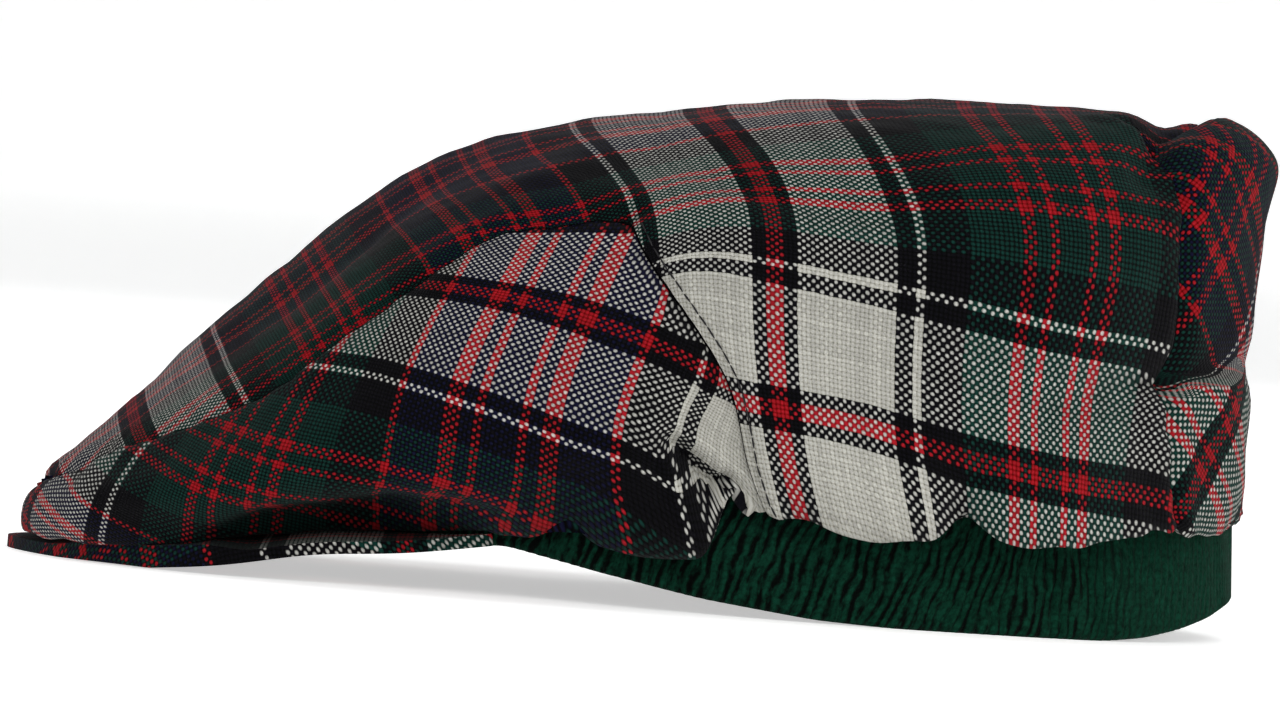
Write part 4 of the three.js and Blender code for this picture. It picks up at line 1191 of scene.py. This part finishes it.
class CAP_OT_turned_edges(bpy.types.Operator):
    """Closes the seams from inside with the cloth's turned-in edges, all black as painted shade in the seams
    """
    bl_idname = "flat_cap.turned_edges"
    bl_label = "Turned-in edges"

    def execute(self, context):
        _, normal, grids = surface_of(context.scene.flat_cap_sizes)
        material = wool_tartan(context.scene.flat_cap_colours)
        side = [(SIDE_CUT, row) for row in range(HEM_ROW, SEAM_ROW + 1)]
        front = [(column % COLUMNS, SEAM_ROW) for column in range(-SIDE_CUT, SIDE_CUT + 1)]
        back = [(BACK_CUT, row) for row in range(HEM_ROW, BACK_ROW + 1)]
        over = [(column, BACK_ROW) for column in range(BACK_CUT + 1, COLUMNS - BACK_CUT)]
        paths = (
            ("turned_edge_side_left", side),
            ("turned_edge_side_right", [(COLUMNS - column, row) for column, row in side]),
            ("turned_edge_front", front),
            ("turned_edge_back", back + over + [(COLUMNS - column, row) for column, row in back[::-1]]),
        )
        turn = np.linspace(0, 2 * math.pi, TURNED_SIDES + 1)[None, :, None]
        for name, path in paths:
            columns, rows = np.array(path).T
            line, out = grids["top"][columns, rows], normal[columns, rows]
            ahead = np.gradient(line, axis=0)
            across = np.cross(ahead, out)
            across /= np.linalg.norm(across, axis=1, keepdims=True)
            radius = np.full((len(path), 1, 1), TURNED_RADIUS)
            radius[[0, -1]] = 0
            points = (line - TURNED_DEPTH * out)[:, None]
            points = points + radius * (np.cos(turn) * out[:, None] + np.sin(turn) * across[:, None])
            # Painted shade: the turned-in edges are black all over, so that the seams show dark inside.
            counts = np.full((*points.shape[:2], 2), BLACK_THREAD)
            piece = shaped_grid(name, clear_of_neighbours(points), counts)
            turn_faces(piece)
            finish_piece(piece, material, sharp=ROUND_SHARP)
        return {"FINISHED"}


class CAP_OT_stitches(bpy.types.Operator):
    """Sews the dark top-stitching along both side seams"""
    bl_idname = "flat_cap.stitches"
    bl_label = "Top-stitching"

    def execute(self, context):
        sizes = context.scene.flat_cap_sizes
        _, normal, grids = surface_of(sizes)
        material = sewing_thread(context.scene.flat_cap_colours)
        pitch, length, thick = sizes.stitch_pitch / MM, sizes.stitch_length / MM / 2, sizes.thread / MM / 2
        seam = SIDE_SEAM * SECTION_STEPS
        for name, column in (("side_stitching_left", seam), ("side_stitching_right", COLUMNS - seam)):
            line, out = grids["top"][column, STITCHED_ROWS], normal[column, STITCHED_ROWS]
            along = np.concatenate([[0], np.cumsum(np.linalg.norm(np.diff(line, axis=0), axis=1))])
            middles = np.arange(pitch / 2, along[-1] - pitch / 2, pitch)
            bpy.ops.object.select_all(action="DESELECT")
            bpy.ops.mesh.primitive_uv_sphere_add(
                segments=STITCH_SIDES, ring_count=STITCH_RINGS, radius=1, calc_uvs=False)
            stitch = bpy.context.object
            template = read(stitch.data.vertices, "co", 3)
            faces = [tuple(p.vertices) for p in stitch.data.polygons]
            points, polygons = [], []
            for middle in middles:
                spot, ahead, up = (
                    np.array([np.interp(middle + shift, along, field[:, i]) for i in range(3)])
                    for shift, field in ((0, line), (LOOK_AHEAD, line), (0, out)))
                ahead = ahead - spot
                ahead /= np.linalg.norm(ahead)
                across = np.cross(up, ahead)
                across /= np.linalg.norm(across)
                up = np.cross(ahead, across)
                sunk = STITCH_RISE * thick - STITCH_DIP * thick * template[:, 2] ** 4
                base = len(points) * len(template)
                points.append(
                    spot + template[:, 2:3] * ahead * length + template[:, 0:1] * across * thick
                    + (template[:, 1] * thick + sunk)[:, None] * up)
                polygons += [tuple(base + i for i in face) for face in faces]
            mesh = bpy.data.meshes.new(name)
            mesh.from_pydata([tuple(p) for p in np.concatenate(points) * MM], [], polygons)
            old = stitch.data
            stitch.data = mesh
            bpy.data.meshes.remove(old)
            stitch.name = name
            turn_faces(stitch)
            finish_piece(stitch, material, sharp=ROUND_SHARP)
        return {"FINISHED"}


def fill_peak(points):
    """Makes the peak fuller where the crown rests on it, and a little higher beside the band."""
    x, y, z = points.T
    upper = smooth(*UPPER_FACE, z - peak_underside(x, y))
    full = FULLER * smooth(*FULL_FROM, x) * (1 - smooth(*FULL_TO, x)) * upper
    high = HIGHER * np.exp(-(((x - HIGH_AT) / HIGH_REACH) ** 2))
    return np.stack([x, y, z + full + high], 1)


class CAP_OT_peak(bpy.types.Operator):
    """Makes the cloth-covered peak"""
    bl_idname = "flat_cap.peak"
    bl_label = "Peak"

    def execute(self, context):
        edge = np.array(PEAK_EDGE, float)
        points = np.concatenate([edge[1:][::-1], edge * (1, -1)])
        points = np.concatenate([[2 * points[0] - points[1]], points, [2 * points[-1] - points[-2]]])
        rim = []
        for s in np.linspace(0, len(points) - 3, PEAK_STATIONS):
            i = min(int(s), len(points) - 4)
            rim.append(catmull(*points[i:i + 4], s - i))
        rim = np.array(rim)
        angle = np.arctan2(rim[:, 1] / HEAD_WIDTH, (rim[:, 0] - HEAD_X) / HEAD_LENGTH)
        root = np.stack(on_head(angle, GAP), -1)
        part = 1 - (1 - np.linspace(0, 1, PEAK_ROWS)) ** PEAK_PACKING
        plan = root[:, None] + (rim - root)[:, None] * part[None, :, None]
        top = peak_underside(plan[..., 0], plan[..., 1]) + PEAK_THICKNESS
        grid = np.concatenate([plan, top[..., None]], -1)[::-1]
        piece = shaped_grid("peak_cloth", grid, np.zeros((*grid.shape[:2], 2)))
        apply_modifier(piece, "SOLIDIFY", thickness=PEAK_THICKNESS * MM, offset=-1.0)
        apply_modifier(
            piece, "BEVEL", width=PEAK_ROUNDING * MM, segments=PEAK_ROUND_STEPS, limit_method="ANGLE",
            angle_limit=math.radians(CLOTH_SHARP))
        move_vertices(piece, fill_peak)
        # The cloth is wrapped round the edge, so its numbers go on changing down the edge.
        mesh = piece.data
        x, y, z = read(mesh.vertices, "co", 3)[read(mesh.loops, "vertex_index", kind=int)].T / MM
        warp = PEAK_WARP + THREADS_PER_MM * (x + PEAK_SLANT * z)
        weft = PEAK_WEFT - THREADS_PER_MM * (np.abs(y) - z)
        mesh.uv_layers["threads"].data.foreach_set("uv", (np.stack([warp, weft], 1) / UV_SCALE).ravel())
        finish_piece(piece, wool_tartan(context.scene.flat_cap_colours), ("peak",))
        return {"FINISHED"}


class CAP_OT_band(bpy.types.Operator):
    """Knits the ribbed band"""
    bl_idname = "flat_cap.band"
    bl_label = "Knit band"

    def execute(self, context):
        sizes = context.scene.flat_cap_sizes
        ribs = round(math.pi * (HEAD_LENGTH + HEAD_WIDTH) / (sizes.rib_pitch / MM))
        angle = np.linspace(0, 2 * math.pi, ribs * POINTS_PER_RIB + 1)
        rib = angle * ribs / (2 * math.pi)
        x = on_head(angle, 0)[0]
        edges = np.array(BAND_EDGES)
        low, high = (np.interp(x, edges[:, 0], edges[:, i]) for i in (1, 2))
        for _ in range(RIM_EASINGS):
            low[1:-1] = np.convolve(low, RIM_EASE, "valid")
        flare = FLARE * smooth(FLARE_FROM, FLARE_TO, x)
        upright = 1 - smooth(UPRIGHT_FROM, UPRIGHT_TO, x)
        stretched = 1 - STRETCHED_SHARE * smooth(STRETCHED_FROM, STRETCHED_TO, x)
        depth = sizes.rib_depth / MM
        points = np.zeros((len(angle), len(BAND_CUT), 3))
        counts = np.zeros((len(angle), len(BAND_CUT), 2))
        for i, (inset, share, above) in enumerate(BAND_CUT):
            z = low + above + share * (high - low)
            sway = RIB_LEAN * z * np.sin(angle) * upright
            sway += SLOW_SWAY * np.sin(z / SLOW_LENGTH + SLOW_SHIFT * np.sin(SLOW_TURNS * angle))
            sway += QUICK_SWAY * np.sin(z / QUICK_LENGTH + QUICK_SHIFT * np.sin(QUICK_TURNS * rib))
            outward = flare * (1 - share) - inset
            if inset < KNIT / 2:
                valley = 0.5 - 0.5 * np.cos(2 * math.pi * (rib + sway))
                turns = UNEVEN_TURNS * rib + UNEVEN_SHIFT * np.sin(UNEVEN_DRIFT * rib) + z / UNEVEN_LENGTH
                uneven = 1 - RIB_UNEVENNESS + RIB_UNEVENNESS * np.sin(turns)
                outward = outward - depth * valley * uneven * stretched
            points[:, i, 0], points[:, i, 1] = on_head(angle, outward)
            points[:, i, 2] = z
            counts[:, i, 0] = rib + sway + 0.5
            counts[:, i, 1] = z / (sizes.knit_stitch / MM)
        points[-1] = points[0]
        piece = shaped_grid("knit_band_ribs", points, counts)
        material = wool_knit(context.scene.flat_cap_colours)
        finish_piece(piece, material, ("knit_band",), sharp=ROUND_SHARP)
        return {"FINISHED"}


# The stage in metres: the rings of the flat floor, the radius and the angles of the rounding that turns it up
# into a wall, the wall's top, and how far the camera sees.
FLOOR_RINGS, FLOOR_SIDES = (0, 0.5, 3, 9), 96
WALL_ROUNDING, WALL_STEPS, WALL_TOP = 3, np.linspace(0.1, math.pi / 2, 14), 6
CAMERA_REACH = 50
# Large soft lights: the strongest from above on the camera's side, the others from above, behind the cap's
# back and its far side. Each has its place and side in metres and its power in watts.
LIGHTS = (
    ("key_light", (0.5, -2.0, 1.4), 1.2, 24),
    ("top_light", (0.0, 0.2, 2.2), 1.6, 11),
    ("back_light", (1.9, -0.4, 0.8), 1.0, 6),
    ("far_light", (0.3, 2.4, 1.4), 1.8, 9),
)


class CAP_OT_stage(bpy.types.Operator):
    """Sets the floor, the lights and the camera"""
    bl_idname = "flat_cap.stage"
    bl_label = "Stage"

    def execute(self, context):
        # A round floor that turns up into a wall far outside every camera, so no horizon shows.
        flat = FLOOR_RINGS[-1]
        rounding = WALL_ROUNDING - WALL_ROUNDING * np.cos(WALL_STEPS)
        radius = [*FLOOR_RINGS, *(flat + WALL_ROUNDING * np.sin(WALL_STEPS)), flat + WALL_ROUNDING]
        height = [*np.zeros(len(FLOOR_RINGS)), *rounding, WALL_TOP]
        angle = np.linspace(0, 2 * math.pi, FLOOR_SIDES + 1)
        points = np.stack([
            np.outer(np.cos(angle), radius), np.outer(np.sin(angle), radius),
            np.broadcast_to(height, (len(angle), len(height)))], -1)[::-1] / MM
        floor = shaped_grid("studio_floor", points, np.zeros((*points.shape[:2], 2)))
        turn_faces(floor, inside=True)
        floor.data.materials.append(stage_paint(context.scene.flat_cap_colours.floor))
        for name, place, size, power in LIGHTS:
            bpy.ops.object.light_add(type="AREA", location=place)
            light = bpy.context.object
            light.name = name
            light.data.size = size
            light.data.energy = power
            aim = -light.location.normalized()
            light.rotation_euler = aim.to_track_quat("-Z", "Y").to_euler()
        world = bpy.data.worlds.new("soft_room")
        world.use_nodes = True
        background = world.node_tree.nodes["Background"]
        background.inputs["Color"].default_value = linear("f6f8fb")
        background.inputs["Strength"].default_value = 0.24
        context.scene.world = world
        context.scene.view_settings.view_transform = "Standard"
        place, ahead, right, up = camera_axes()
        bpy.ops.object.camera_add()
        camera = bpy.context.object
        camera.name = "photo_camera"
        axes = Matrix(np.stack([right, up, -ahead], 1).tolist()).to_4x4()
        camera.matrix_world = Matrix.Translation(place * MM) @ axes
        camera.data.sensor_width = SENSOR
        camera.data.lens = SENSOR * DISTANCE / (FRAME_WIDTH * PIXEL)
        camera.data.clip_end = CAMERA_REACH
        context.scene.camera = camera
        return {"FINISHED"}


OPERATORS = (CAP_OT_crown, CAP_OT_turned_edges, CAP_OT_stitches, CAP_OT_peak, CAP_OT_band, CAP_OT_stage)


class CAP_PT_panel(bpy.types.Panel):
    bl_label = "Flat cap"
    bl_idname = "CAP_PT_panel"
    bl_space_type = "VIEW_3D"
    bl_region_type = "UI"
    bl_category = "Flat cap"

    def draw(self, context):
        for group in (context.scene.flat_cap_sizes, context.scene.flat_cap_colours):
            for name in group.__annotations__:
                self.layout.prop(group, name)
        for operator in OPERATORS:
            self.layout.operator(operator.bl_idname)


CLASSES = (CapSizes, CapColours, *OPERATORS, CAP_PT_panel)


def register():
    for item in CLASSES:
        bpy.utils.register_class(item)
    bpy.types.Scene.flat_cap_sizes = bpy.props.PointerProperty(type=CapSizes)
    bpy.types.Scene.flat_cap_colours = bpy.props.PointerProperty(type=CapColours)


def unregister():
    del bpy.types.Scene.flat_cap_colours
    del bpy.types.Scene.flat_cap_sizes
    for item in reversed(CLASSES):
        bpy.utils.unregister_class(item)


def main():
    register()
    bpy.ops.flat_cap.crown()
    bpy.ops.flat_cap.turned_edges()
    bpy.ops.flat_cap.stitches()
    bpy.ops.flat_cap.peak()
    bpy.ops.flat_cap.band()
    bpy.ops.flat_cap.stage()


if __name__ == "__main__":
    main()
